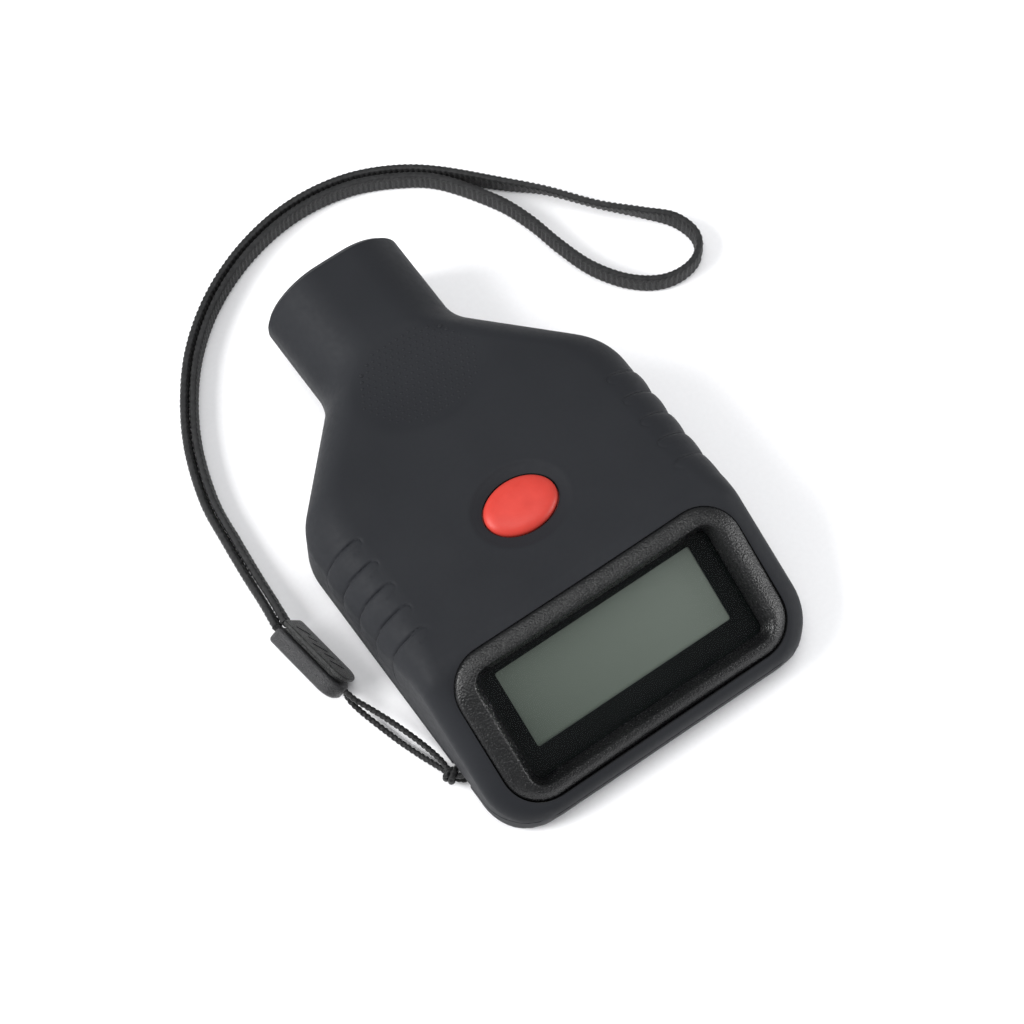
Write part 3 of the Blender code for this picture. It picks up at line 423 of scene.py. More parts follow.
def lcd_glass():
    """Grey-green reflective display, paler towards its far right: a painted gradient of light across it.
    """
    made, tree, shader = new_look("lcd_glass", 0.25, specular=0.12)
    place = place_of(tree)
    parts = add(tree, "SeparateXYZ")
    tree.links.new(place, parts.inputs["Vector"])
    across = add(tree, "Math", {1: 0.9}, operation="MULTIPLY")
    tree.links.new(parts.outputs["X"], across.inputs[0])
    total = add(tree, "Math", operation="ADD")
    tree.links.new(across.outputs["Value"], total.inputs[0])
    tree.links.new(parts.outputs["Y"], total.inputs[1])
    # painted light: the display's colour runs from darker to paler towards its far right
    painted_light_slope = spread(tree, total.outputs["Value"], 0.0, 1.0, -0.066, -0.008)
    tree.links.new(between(tree, painted_light_slope, (0.066, 0.081, 0.067), (0.128, 0.148, 0.129), 0.0, 1.0),
                   shader.inputs["Base Color"])
    fine = noise(tree, place, 0.0006)
    tree.links.new(spread(tree, fine, 0.22, 0.28), shader.inputs["Roughness"])
    return made


def button_red():
    """Red plastic that light enters a little, with fine scuffs in its gloss."""
    made, tree, shader = new_look("button_red", 0.42, specular=0.22)
    place = place_of(tree)
    drift, fine = noise(tree, place, 0.004, 3.0), noise(tree, place, 0.00016, 2.0)
    tree.links.new(between(tree, drift, (0.43, 0.036, 0.026), (0.49, 0.045, 0.033)),
                   shader.inputs["Base Color"])
    tree.links.new(spread(tree, fine, 0.36, 0.46), shader.inputs["Roughness"])
    shader.inputs["Subsurface Weight"].default_value = 0.08
    shader.inputs["Subsurface Radius"].default_value = (0.002, 0.0006, 0.0004)
    shader.inputs["Subsurface Scale"].default_value = 1.0
    bump(tree, shader, ((fine, 0.000010),))
    return made


def webbing():
    """Black nylon with fibre glints, dust-grey in patches."""
    made, tree, shader = new_look("webbing", 0.62, specular=0.30)
    place = place_of(tree)
    fibre, drift = noise(tree, place, 0.00010, 3.0), noise(tree, place, 0.0008, 3.0)
    tree.links.new(between(tree, drift, (0.0034, 0.0036, 0.0039), (0.0165, 0.0167, 0.0174)),
                   shader.inputs["Base Color"])
    tree.links.new(spread(tree, fibre, 0.48, 0.74), shader.inputs["Roughness"])
    shader.inputs["Sheen Weight"].default_value = 0.08
    shader.inputs["Sheen Roughness"].default_value = 0.4
    bump(tree, shader, ((fibre, 0.00006), (drift, 0.00002)))
    return made


def braid():
    """Black nylon thread with fine fibres."""
    made, tree, shader = new_look("thread_braid", 0.5, specular=0.24)
    place = place_of(tree)
    fibre, drift = noise(tree, place, 0.00007, 3.0), noise(tree, place, 0.0009, 2.0)
    tree.links.new(between(tree, drift, (0.0022, 0.0023, 0.0025), (0.0075, 0.0077, 0.0082)),
                   shader.inputs["Base Color"])
    tree.links.new(spread(tree, fibre, 0.40, 0.64), shader.inputs["Roughness"])
    shader.inputs["Sheen Weight"].default_value = 0.06
    bump(tree, shader, ((fibre, 0.00004),))
    return made


def clip_black(name, dark, light):
    """Semi-gloss black with a coarse mould grain."""
    return moulded(name, dark, light, 0.36, 0.00026, 0.00030, specular=0.34)


def board_green():
    """Solder mask over copper, with the raised lines of its tracks."""
    made, tree, shader = new_look("board_green", 0.34, specular=0.5)
    place = place_of(tree)
    tracks = add(tree, "TexBrick", {"Scale": 1 / 0.006, "Mortar Size": 0.06}, offset=0.37)
    tree.links.new(place, tracks.inputs["Vector"])
    drift = noise(tree, place, 0.004, 2.0)
    mask, over_copper = (0.012, 0.110, 0.040), (0.030, 0.200, 0.080)
    colour = between(tree, tracks.outputs["Fac"], mask, over_copper, 0.0, 1.0)
    tree.links.new(colour, shader.inputs["Base Color"])
    tree.links.new(spread(tree, drift, 0.28, 0.42), shader.inputs["Roughness"])
    bump(tree, shader, ((tracks.outputs["Fac"], 0.000035),))
    return made


def copper_winding():
    """Enamelled wire laid turn by turn along Y, with painted shade in the grooves between turns and a
    painted highlight on their crests.
    """
    made, tree, shader = new_look("copper_winding", 0.28, 1.0)
    place = place_of(tree)
    turns = add(tree, "TexWave", {"Scale": 1 / 0.0009, "Distortion": 0.4}, bands_direction="Y")
    tree.links.new(place, turns.inputs["Vector"])
    # painted shade and highlight: darker where the bump is low between turns, lighter on the crests
    tree.links.new(between(tree, turns.outputs["Fac"], (0.36, 0.13, 0.05), (0.78, 0.36, 0.17), 0.1, 0.8),
                   shader.inputs["Base Color"])
    bump(tree, shader, ((turns.outputs["Fac"], 0.00006),))
    return made


def steel(name, colour, roughness, squeeze=(1, 1, 1)):
    """Bare or plated metal, brushed along the axes that squeeze leaves long."""
    dark = tuple(value * 0.82 for value in colour)
    return moulded(name, dark, colour, roughness, 0.0003, 0.000008, metallic=1.0, squeeze=squeeze)


def carried_over_looks():
    """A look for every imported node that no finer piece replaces."""
    black = moulded("plain_black", (0.022, 0.022, 0.023), (0.032, 0.032, 0.033), 0.48, 0.0002, 0.00003)
    chip = moulded("chip_black", (0.012, 0.012, 0.013), (0.019, 0.019, 0.020), 0.5, 0.00012, 0.00002)
    white = moulded("white_plastic", (0.66, 0.66, 0.63), (0.74, 0.74, 0.71), 0.42, 0.0002, 0.00001)
    carbon = moulded("carbon_elastomer", (0.02, 0.02, 0.024), (0.045, 0.045, 0.05), 0.7, 0.00015, 0.00002)
    film = moulded("polyimide_film", (0.38, 0.17, 0.02), (0.48, 0.24, 0.04), 0.3, 0.0005, 0.00001)
    ferrite = moulded("ferrite", (0.06, 0.06, 0.065), (0.09, 0.09, 0.095), 0.6, 0.0001, 0.00002)
    jacket = moulded("cell_jacket", (0.08, 0.19, 0.08), (0.11, 0.24, 0.11), 0.32, 0.0006, 0.000006, 0.3)
    zinc, nickel = steel("zinc_steel", (0.56, 0.56, 0.57), 0.34), steel("nickel", (0.62, 0.60, 0.56), 0.26)
    board, brushed = board_green(), steel("brushed_steel", (0.54, 0.54, 0.54), 0.32, (1, 12, 1))
    looks = {
        black: ("lcd_holder", "battery_tray", "probe_housing", "probe_end_cap", "probe_cable"),
        chip: ("controller_chip", "amplifier_chip", "buzzer"),
        white: ("backlight_panel", "switch_plunger"),
        carbon: ("zebra_strip",),
        film: ("flex_ribbon",),
        ferrite: ("probe_core",),
        jacket: ("battery_cell_1", "battery_cell_2"),
        zinc: ("case_screw_1", "case_screw_2", "case_screw_3", "case_screw_4", "strap_pin"),
        nickel: ("contact_bridge", "contact_positive", "contact_negative", "contact_spring_1",
                 "contact_spring_2", "probe_spring"),
        brushed: ("switch_body",),
        board: ("main_board", "display_board"),
        copper_winding(): ("probe_coil",),
        window_acrylic(): ("window_lens",),
        mask_ink(): ("display_mask",),
        lcd_glass(): ("lcd_panel",),
    }
    for look, nodes in looks.items():
        for name in nodes:
            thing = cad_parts[name]
            thing.data.materials.clear()
            thing.data.materials.append(look)


# ---------------------------------------------------------------- mesh tools

def place_mesh(name, mesh, look=None, sharp=38):
    thing = bpy.data.objects.new(name, mesh)
    bpy.context.scene.collection.objects.link(thing)
    if look:
        mesh.materials.append(look)
        mesh.shade_smooth()
        mesh.set_sharp_from_angle(angle=math.radians(sharp))
    return thing


def from_bmesh(name, bm, look=None, sharp=38):
    """An object made of the bmesh, its faces turned outwards."""
    bmesh.ops.recalc_face_normals(bm, faces=bm.faces)
    mesh = bpy.data.meshes.new(name)
    bm.to_mesh(mesh)
    bm.free()
    return place_mesh(name, mesh, look, sharp)


def loft(name, rings, look=None, closed=False, sharp=38, turn=None):
    """A solid through rings of points, capped at its ends or joined end to start."""
    count, size = len(rings), len(rings[0])
    points = [tuple(turn @ Vector(p)) if turn else tuple(p) for ring in rings for p in ring]
    faces = []
    for i in range(count if closed else count - 1):
        here, after = i * size, (i + 1) % count * size
        for j in range(size):
            k = (j + 1) % size
            faces.append((here + j, here + k, after + k, after + j))
    if not closed:
        faces += [tuple(range(size)), tuple(range((count - 1) * size, count * size))]
    mesh = bpy.data.meshes.new(name)
    mesh.from_pydata(points, [], faces)
    bm = bmesh.new()
    bm.from_mesh(mesh)
    bpy.data.meshes.remove(mesh)
    return from_bmesh(name, bm, look, sharp)


def replace_node(piece, node, body):
    """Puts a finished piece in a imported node's place."""
    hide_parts(node)
    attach(piece, body)


def box_tool(low, high):
    """A box between two opposite corners."""
    low, high = Vector(low), Vector(high)
    bm = bmesh.new()
    bmesh.ops.create_cube(bm, size=1.0, matrix=Matrix.LocRotScale((low + high) / 2, None, high - low))
    return from_bmesh("tool", bm)


def round_tool(centre, radius, length, axis="Z", segments=48, squeeze=1.0):
    """A cylinder along Z or Y, its second cross axis scaled by squeeze."""
    bm = bmesh.new()
    place = Matrix.Translation(centre)
    if axis == "Y":
        place = place @ Matrix.Rotation(math.pi / 2, 4, "X")
    place = place @ Matrix.Diagonal((1, squeeze, 1, 1))
    bmesh.ops.create_cone(
        bm, cap_ends=True, segments=segments, radius1=radius, radius2=radius, depth=length, matrix=place)
    return from_bmesh("tool", bm)


def carve(target, steps, sharp=38):
    """Applies Boolean steps, given as (operation, tool) pairs, and deletes the tools."""
    for operation, tool in steps:
        step = target.modifiers.new("step", "BOOLEAN")
        step.solver = "MANIFOLD"
        step.operation = operation
        step.object = tool
    depsgraph = bpy.context.evaluated_depsgraph_get()
    mesh = bpy.data.meshes.new_from_object(target.evaluated_get(depsgraph))
    target.modifiers.clear()
    target.data = mesh
    mesh.shade_smooth()
    mesh.set_sharp_from_angle(angle=math.radians(sharp))
    for _, tool in steps:
        bpy.data.objects.remove(tool, do_unlink=True)


def rounded_path(corners, steps):
    """Points of a path through (a, b, radius) corners, each rounded unless its radius is 0."""
    points = []
    for i, (a, b, radius) in enumerate(corners):
        here = Vector((a, b))
        if radius == 0:
            points.append(here)
            continue
        back = (Vector(corners[i - 1][:2]) - here).normalized()
        ahead = (Vector(corners[(i + 1) % len(corners)][:2]) - here).normalized()
        half = back.angle(ahead) / 2
        centre = here + (back + ahead).normalized() * radius / math.sin(half)
        start = here + back * radius / math.tan(half) - centre
        sweep = math.pi - 2 * half
        if back.x * ahead.y - back.y * ahead.x > 0:
            sweep = -sweep
        for step in range(steps + 1):
            points.append(centre + Matrix.Rotation(sweep * step / steps, 2) @ start)
    return points


def rounded_rectangle(half, radius, z, centre_y=0.0, steps=10):
    """A ring of points round a rectangle in the XY plane, at height z."""
    x, y = half
    corners = ((x, -y, radius), (x, y, radius), (-x, y, radius), (-x, -y, radius))
    return [(p.x, p.y + centre_y, z) for p in rounded_path(corners, steps)]


def smooth(points, spacing):
    """Catmull-Rom curve through the points, sampled at about the spacing."""
    data = np.array([tuple(p) for p in points], float)
    ends = np.vstack((2 * data[0] - data[1], data, 2 * data[-1] - data[-2]))
    out = []
    for a, b, c, d in zip(ends, ends[1:], ends[2:], ends[3:]):
        count = max(1, round(float(np.linalg.norm((c - b)[:3])) / spacing))
        for t in np.arange(count) / count:
            out.append(0.5 * (2 * b + (c - a) * t + (2 * a - 5 * b + 4 * c - d) * t**2
                              + (3 * b - a - 3 * c + d) * t**3))
    out.append(data[-1])
    return out


def turned(name, profile, look, centre, segments=72):
    """A piece turned about a Y axis through centre, from (radius, distance along it) points."""
    rings = []
    for i in range(segments):
        angle = math.tau * i / segments
        c, s = math.cos(angle), math.sin(angle)
        rings.append([Vector(centre) + Vector((r * c, distance, r * s)) for r, distance in profile])
    return loft(name, rings, look, closed=True)


# ---------------------------------------------------------------- body shape

def plan_path(inset=0.0, steps=14):
    """Half outline seen from above as (y, half width), wide end first."""
    run = Vector((HALF_WIDTH - NOSE_HALF_WIDTH, NECK_Y - SHOULDER_Y))
    slip = inset * math.tan(math.atan2(run.x, run.y) / 2)
    x, nose = HALF_WIDTH - inset, NOSE_HALF_WIDTH - inset
    corners = (
        (END_Y + inset, 0.0, 0), (END_Y + inset, x, END_CORNER_R - inset),
        (SHOULDER_Y - slip, x, SHOULDER_R - inset), (NECK_Y - slip, nose, NECK_R + inset),
        (NOSE_Y - inset - NOSE_CHAMFER, nose, 0), (NOSE_Y - inset, nose - NOSE_CHAMFER, 0),
    )
    return rounded_path(corners, steps)


def top_path(inset=0.0, steps=12):
    """Side profile of the top as (y, z), wide end first."""
    end_z = END_TOP_Z - inset * (1 - math.sin(TILT)) / math.cos(TILT)
    crest_y = CREST_Y + inset * math.tan(TILT / 2)
    top = DECK_Z - inset
    corners = (
        (END_Y + inset, 0.0, 0), (END_Y + inset, end_z, END_TOP_R - inset / 2), (crest_y, top, CREST_R),
        (NOSE_Y - inset - NOSE_CHAMFER, top, 0), (NOSE_Y - inset, top - NOSE_CHAMFER, 0),
    )
    return rounded_path(corners, steps)


def foot_path(inset=0.0, steps=10):
    """Side profile of the back as (y, z), wide end first."""
    corners = (
        (END_Y + inset, 0.006 + inset, 0), (END_Y + inset, inset, END_FOOT_R - inset),
        (NOSE_Y - inset - NOSE_CHAMFER, inset, 0), (NOSE_Y - inset, inset + NOSE_CHAMFER, 0),
    )
    return rounded_path(corners, steps)


def along(path, y):
    """The path's second value at y."""
    return float(np.interp(y, [p[0] for p in path], [p[1] for p in path]))


def arc(centre, radius, start, end, steps):
    """Points of an arc, with angles in degrees."""
    angles = np.radians(np.linspace(start, end, steps + 1))
    return [(centre[0] + radius * math.cos(a), centre[1] + radius * math.sin(a)) for a in angles]


def section(y, paths, inset, steps):
    """The ring of points round the body at y."""
    plan, over, under = paths
    width, top, foot = along(plan, y), along(over, y), along(under, y)
    most = min(width, (top - foot) / 2) * 0.97
    r_top, r_foot = (min(max(along(radii, y) - inset, SMALLEST_EDGE_R), most)
                     for radii in (EDGE_R_TOP, EDGE_R_FOOT))
    flat, low_arc, side, high_arc, deck = steps
    half = [((width - r_foot) * i / flat, foot) for i in range(1, flat)]
    half += arc((width - r_foot, foot + r_foot), r_foot, -90, 0, low_arc)
    rise = top - r_top - foot - r_foot
    half += [(width, foot + r_foot + rise * i / side) for i in range(1, side)]
    half += arc((width - r_top, top - r_top), r_top, 0, 90, high_arc)
    half += [((width - r_top) * (1 - i / deck), top) for i in range(1, deck)]
    points = [(0.0, foot)] + half + [(0.0, top)] + [(-x, z) for x, z in reversed(half)]
    crown = CROWN / (top - foot)
    return [(x, y, z - crown * (x / width) ** 2 * (z - foot)) for x, z in points]


def body_solid(name, inset, coarse, fine, fine_range, steps):
    """The whole body, or its hollow when inset, with closer sections over fine_range."""
    paths = plan_path(inset), top_path(inset), foot_path(inset)
    bends = sorted(p[0] for path in paths for p in path)
    wanted = np.concatenate(
        (np.arange(bends[0], bends[-1], coarse), np.arange(*fine_range, fine), bends))
    places = [bends[0]]
    for y in np.sort(wanted):
        if y - places[-1] > fine * 0.6:
            places.append(float(y))
    places[-1] = bends[-1]
    return loft(name, [section(y, paths, inset, steps) for y in places])


def bowl(x, y, centre_y, half, depth, lip=0.12):
    """Depth at (x, y) of a shallow oval hollow with a soft lip."""
    reach = np.sqrt((x / half[0]) ** 2 + ((y - centre_y) / half[1]) ** 2)
    inside = np.clip(1 - reach**2, 0, None)
    edge = np.clip((1 + lip - reach) / (2 * lip), 0, 1)
    blend = edge * edge * (3 - 2 * edge)
    return depth * (0.1 * blend + 0.9 * inside)


def grip_line(y, side):
    """One grip groove: from a hook on the deck, over the shoulder and down to a tail on the side."""
    route = (
        (0.0286, y - 0.0021, 0.0217), (0.0273, y - 0.0019, 0.0222), (0.0265, y - 0.0012, 0.0224),
        (0.0265, y - 0.0004, 0.0224), (0.0273, y + 0.0001, 0.0222), (0.0285, y + 0.0001, 0.0217),
        (0.0300, y, 0.0208), (0.0313, y, 0.0197),
        (0.0323, y - 0.0001, 0.0183), (0.0331, y - 0.0002, 0.0163), (0.0335, y - 0.0002, 0.0140),
        (0.0335, y - 0.0003, 0.0120), (0.0335, y - 0.0010, 0.0102), (0.0335, y - 0.0024, 0.0091),
    )
    return np.array([(side * p[0], p[1], p[2]) for p in smooth(route, 0.0002)])


def distances(spots, line):
    """Every distance from a spot to a point of the line."""
    return np.sqrt(((spots[:, None] - line[None]) ** 2).sum(2))


def shape_top(cover):
    """Presses the finger pad, the button dish and the grips into the outer skin."""
    mesh = cover.data
    count = len(mesh.vertices)
    points, normals = np.empty(count * 3), np.empty(count * 3)
    mesh.vertices.foreach_get("co", points)
    mesh.vertices.foreach_get("normal", normals)
    points, normals = points.reshape(-1, 3), normals.reshape(-1, 3)
    x, y, z = points.T
    moved = points.copy()
    on_deck = normals[:, 2] > 0.5
    hollow = bowl(x, y, PAD_Y, PAD_HALF, PAD_DEPTH) + bowl(x, y, BUTTON_Y, DISH_HALF, DISH_DEPTH, 0.05)
    moved[:, 2] -= np.where(on_deck, hollow, 0)
    for side in (-1, 1):
        for i in range(GRIP_COUNT):
            start = GRIP_FIRST_Y - i * GRIP_PITCH
            near = (side * x > 0.024) & (abs(y - start + 0.001) < 0.006) & (z > 0.006)
            spots, line = points[near], grip_line(start, side)
            closest = distances(spots, line).argmin(0)
            foot, out = spots[closest], normals[near][closest]
            line = line + out * ((foot - line) * out).sum(1)[:, None]
            apart = distances(spots, line)
            nearest = apart.argmin(1)
            faint = 0.35 if side < 0 else 0.08  # the hooks on the deck show more on the left
            fade = np.clip(nearest / 26, faint, 1) * np.clip((len(line) - nearest) / 12, 0.2, 1)
            groove = GRIP_DEPTH * fade * np.exp(-((apart.min(1) / GRIP_HALF_WIDTH) ** 2))
            behind = np.clip((start - spots[:, 1]) / GRIP_PITCH, 0, 1)
            swell = np.sin(math.pi * behind**0.8) ** 0.8
            reach = np.clip((abs(spots[:, 0]) - 0.0272) / 0.005, 0, 1)
            reach *= np.clip((spots[:, 2] - 0.007) / 0.004, 0, 1)
            last = 0.4 if i == GRIP_COUNT - 1 else 1.0
            lift = RIDGE_RISE * last * swell * reach - groove
            moved[near] += normals[near] * lift[:, None]
    mesh.vertices.foreach_set("co", moved.ravel())
    mesh.update()


def hollow_tool():
    """The room inside the covers."""
    return body_solid("hollow", WALL, 0.004, 0.002, GRIP_RANGE, HOLLOW_STEPS)


def nose_hole():
    """The opening that the nose ring sits in."""
    return round_tool((0, NOSE_Y - 0.0007, PROBE_Z), NOSE_HOLE_R, NOSE_HOLE_DEPTH, "Y", 96)


def pin_box(xs, reach, zs):
    """A box round the strap's pin."""
    return box_tool((xs[0], PIN.y - reach, zs[0]), (xs[1], PIN.y + reach, zs[1]))


def top_cover(look):
    """The upper half, with its openings for the display, the button and the probe."""
    fine = 0.00022
    top = body_solid("top_shell", 0.0, 0.0009, fine, GRIP_RANGE, SKIN_STEPS)
    top.data.materials.append(look)
    shape_top(top)
    hole = BUTTON_HALF[0] + GAP
    squeeze = (BUTTON_HALF[1] + GAP) / hole
    half = [side + GAP * 0.45 for side in BEZEL_HALF]
    frame_hole = [rounded_rectangle(half, BEZEL_HOLE_R, z) for z in (-0.0052, 0.0060)]
    tools = (
        box_tool((-0.04, -0.06, -0.01), (0.04, 0.06, SPLIT_Z + GAP / 2)),
        hollow_tool(),
        loft("tool", frame_hole, turn=DISPLAY),
        round_tool((0, BUTTON_Y, DECK_Z), hole, 0.008, "Z", 96, squeeze),
        nose_hole(),
    )
    carve(top, [("DIFFERENCE", tool) for tool in tools])
    replace_node(top, "top_cover", "body")


def bottom_cover(look):
    """The lower half, with its screw bosses, the block round the strap's pin and its openings."""
    bottom = body_solid("bottom_shell", 0.0, 0.0012, 0.0012, GRIP_RANGE, BACK_STEPS)
    bottom.data.materials.append(look)
    steps = [
        ("DIFFERENCE", box_tool((-0.04, -0.06, SPLIT_Z - GAP / 2), (0.04, 0.06, 0.04))),
        ("DIFFERENCE", hollow_tool()),
        ("UNION", pin_box(*PIN_BLOCK)),
    ]
    for operation, z, radius, length in SCREW_STEPS:
        steps += [(operation, round_tool((x, y, z), radius, length)) for x, y in SCREW_PLACES]
    door_low = (-DOOR_X - GAP, DOOR_Y[0] - GAP, -0.001)
    door_high = (DOOR_X + GAP, DOOR_Y[1] + GAP, 0.003)
    steps += [
        ("DIFFERENCE", nose_hole()),
        ("DIFFERENCE", box_tool(door_low, door_high)),
        ("DIFFERENCE", pin_box(*PIN_SLOT)),
        ("DIFFERENCE", round_tool(PIN, PIN_R, PIN_LENGTH, "Y", 16)),
    ]
    carve(bottom, steps)
    replace_node(bottom, "bottom_cover", "body")


def finger_dots(look):
    """Low domes in a staggered lattice over the finger pad."""
    bm = bmesh.new()
    paths = plan_path(), top_path(), foot_path()
    rows = int(PAD_HALF[1] * 0.92 / DOT_PITCH)
    columns = int(PAD_HALF[0] * 0.95 / DOT_PITCH)
    for row in range(-rows, rows + 1):
        for column in range(-columns, columns + 1):
            x = (column + 0.5 * (row % 2)) * DOT_PITCH
            y = PAD_Y + row * DOT_PITCH * DOT_ROW_SHARE
            if (x / PAD_HALF[0]) ** 2 + ((y - PAD_Y) / PAD_HALF[1]) ** 2 > DOT_AREA_SHARE:
                continue
            width = along(paths[0], y)
            z = DECK_Z - CROWN * (x / width) ** 2
            z -= float(bowl(np.array(x), np.array(y), PAD_Y, PAD_HALF, PAD_DEPTH))
            place = Matrix.LocRotScale((x, y, z - DOT_R * 0.36), None, (DOT_R, DOT_R, DOT_R * 0.60))
            bmesh.ops.create_icosphere(bm, subdivisions=2, radius=1.0, matrix=place)
    dots = from_bmesh("finger_dots", bm, look)
    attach(dots, "body")


# ---------------------------------------------------------------- display and button

def bezel_ring(share):
    """The frame's outline at a share of the way from its outer edge to the window."""
    half = [outer * (1 - share) + inner * share for outer, inner in zip(BEZEL_HALF, WINDOW_HALF)]
    radius = BEZEL_R * (1 - share) + WINDOW_R * share
    lip = BEZEL_RIM * (1 - math.sqrt(1 - (1 - min(share / BEZEL_LIP_SHARE, 1)) ** 2))
    ring = []
    for x, y, _ in rounded_rectangle(half, radius, 0.0, WINDOW_Y * share):
        rim_z = BEZEL_RIM * y / BEZEL_HALF[1] - BEZEL_RIM
        if share < BEZEL_CREST_SHARE:
            rise = 1 - (1 - share / BEZEL_CREST_SHARE) ** 2
            ring.append((x, y, rim_z + (BEZEL_CREST_Z - rim_z) * rise - lip))
        else:
            fall = ((share - BEZEL_CREST_SHARE) / (1 - BEZEL_CREST_SHARE)) ** 1.4
            ring.append((x, y, BEZEL_CREST_Z + (BEZEL_FOOT_Z - BEZEL_CREST_Z) * fall))
    return ring


def bezel():
    """The grained frame: a rounded rim, a swell up to a crest and a slope down to the window."""
    rings = [rounded_rectangle(BEZEL_HALF, BEZEL_R, z) for z in (BEZEL_BACK_Z, -0.0009)]
    shares = np.concatenate(
        (np.linspace(0, BEZEL_LIP_SHARE, 5), np.linspace(BEZEL_LIP_SHARE, 1, 26)[1:]))
    rings += [bezel_ring(share) for share in shares]
    rings += [
        rounded_rectangle(WINDOW_HALF, WINDOW_R, BEZEL_LEDGE_Z, WINDOW_Y),
        rounded_rectangle(POCKET_HALF, POCKET_R, BEZEL_LEDGE_Z, POCKET_Y),
        rounded_rectangle(POCKET_HALF, POCKET_R, BEZEL_BACK_Z, POCKET_Y),
    ]
    piece = loft("bezel_frame", rings, grained_frame(), closed=True, turn=DISPLAY)
    replace_node(piece, "display_bezel", "body")


def button():
    """An oval dome with a rolled edge over its flange."""
    low, high = (corner.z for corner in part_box("button"))
    flange_z = low + 0.0003
    shape = [(0.02, low), (0.28, low), (0.28, flange_z), (1.16, flange_z),
             (1.16, BUTTON_SHOULDER_Z), (1.0, BUTTON_SHOULDER_Z)]
    for angle in np.radians(np.linspace(0, 90, 26)):
        rise = (high - BUTTON_BROW_Z) * math.sin(angle)
        shape.append((0.02 + 0.98 * math.cos(angle) ** 0.55, BUTTON_BROW_Z + rise))
    angles = [math.tau * i / 96 for i in range(96)]
    rings = []
    for factor, z in shape:
        x, y = BUTTON_HALF[0] * factor, BUTTON_HALF[1] * factor
        rings.append([(x * math.cos(a), BUTTON_Y + y * math.sin(a), z) for a in angles])
    replace_node(loft("button_cap", rings, button_red()), "button", "button")


# ---------------------------------------------------------------- probe

def nose():
    """The nose ring, the chromed sleeve and the hard tip, turned finely with broken edges."""
    centre = (0, NOSE_Y, PROBE_Z)
    black = moulded("ring_black", (0.020, 0.020, 0.021), (0.030, 0.030, 0.031), 0.4, 0.0002, 0.00002)
    chrome = steel("hard_chrome", (0.64, 0.64, 0.65), 0.14)
    angles = np.radians(np.linspace(4, 90, 12))
    tip = [(TIP_R * math.sin(a), TIP_RISE - TIP_RISE * (1 - math.cos(a))) for a in angles]
    tip += [(TIP_R, -0.0001), (0.0001, -0.0001)]
    pieces = (
        ("nose_ring_fine", RING_PROFILE, black, "nose_ring", "body", "black_abs"),
        ("probe_sleeve_fine", SLEEVE_PROFILE, chrome, "probe_sleeve", "probe", "chrome"),
        ("probe_tip_fine", tip, chrome, "probe_tip", "probe", "chrome"),
    )
    for name, profile, look, node, body, slot in pieces:
        replace_node(turned(name, profile, look, centre), node, body)


def door():
    """The battery door with broken edges, its hooks, its thumb hollow and three grip bars."""
    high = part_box("battery_door")[1]
    middle, half = (DOOR_Y[0] + DOOR_Y[1]) / 2, (DOOR_Y[1] - DOOR_Y[0]) / 2
    rings = [rounded_rectangle((DOOR_X - inset, half - inset), 0.0008, z, middle, 4)
             for inset, z in DOOR_LAYERS]
    plate = loft("door_plate", rings, soft_touch("door_coat"))
    steps = []
    for x in (-HOOK_X, HOOK_X):
        for back, bottom, end in ((0.0022, 0.0010, DOOR_Y[1]), (0.0010, 0.0021, high.y)):
            corners = (x - HOOK_HALF, DOOR_Y[1] - back, bottom), (x + HOOK_HALF, end, high.z)
            steps.append(("UNION", box_tool(*corners)))
    thumb = bmesh.new()
    place = Matrix.LocRotScale((0, DOOR_Y[0] + 0.0045, -0.0006), None, THUMB_HALF)
    bmesh.ops.create_uvsphere(thumb, u_segments=48, v_segments=24, radius=1.0, matrix=place)
    steps.append(("DIFFERENCE", from_bmesh("tool", thumb)))
    for i in range(3):
        y = DOOR_Y[0] + 0.0095 + i * 0.0016
        steps.append(("DIFFERENCE", box_tool((-0.0060, y, -0.001), (0.0060, y + 0.0006, 0.0003))))
    carve(plate, steps)
    replace_node(plate, "battery_door", "battery_door")


# ---------------------------------------------------------------- strap

def offset_strand(side):
    """One strand of the pair, moved half the spacing to a side of the middle line."""
    out = []
    for i, (x, y, z, lean) in enumerate(WEB_PAIR):
        before, after = WEB_PAIR[max(i - 1, 0)], WEB_PAIR[min(i + 1, len(WEB_PAIR) - 1)]
        heading = Vector((after[0] - before[0], after[1] - before[1])).normalized()
        out.append((x - side * heading.y * WEB_SPACING / 2,
                    y + side * heading.x * WEB_SPACING / 2, z, lean))
    return out


def web_profile(around=28):
    """Points round the webbing's section, from -1 to 1 through its thickness and across its width."""
    profile = []
    for i in range(around):
        angle = math.tau * (i + 0.5) / around
        c, s = math.cos(angle), math.sin(angle)
        profile.append((math.copysign(abs(c) ** 0.45, c), math.copysign(abs(s) ** 0.62, s)))
    return profile


def web_ring(point, heading, lean, run, profile, rows=5):
    """The section of the webbing at a point, which is run metres from its start."""
    across = Vector((-heading[1], heading[0], 0)).normalized()
    face = across * math.cos(lean) + Vector((0, 0, -math.sin(lean)))
    up = across * math.sin(lean) + Vector((0, 0, math.cos(lean)))
    middle, ring = Vector(point[:3]), []
    for a, b in profile:
        row = round((b + 1) / 2 * rows)
        wave = math.cos(math.tau * run / RIB_PITCH + 0.9 * (row % 2))
        bead = 0.5 * (1 - math.cos(math.tau * 2 * run / RIB_PITCH)) * abs(b) ** 8
        side = a * (WEB_THICK / 2 + NAP - RIB_RISE * (1 - wave) * (1 - 0.8 * abs(b) ** 6))
        ring.append(middle + face * side + up * b * (WEB_WIDTH / 2 - RIB_RISE * 0.5 * bead))
    return ring


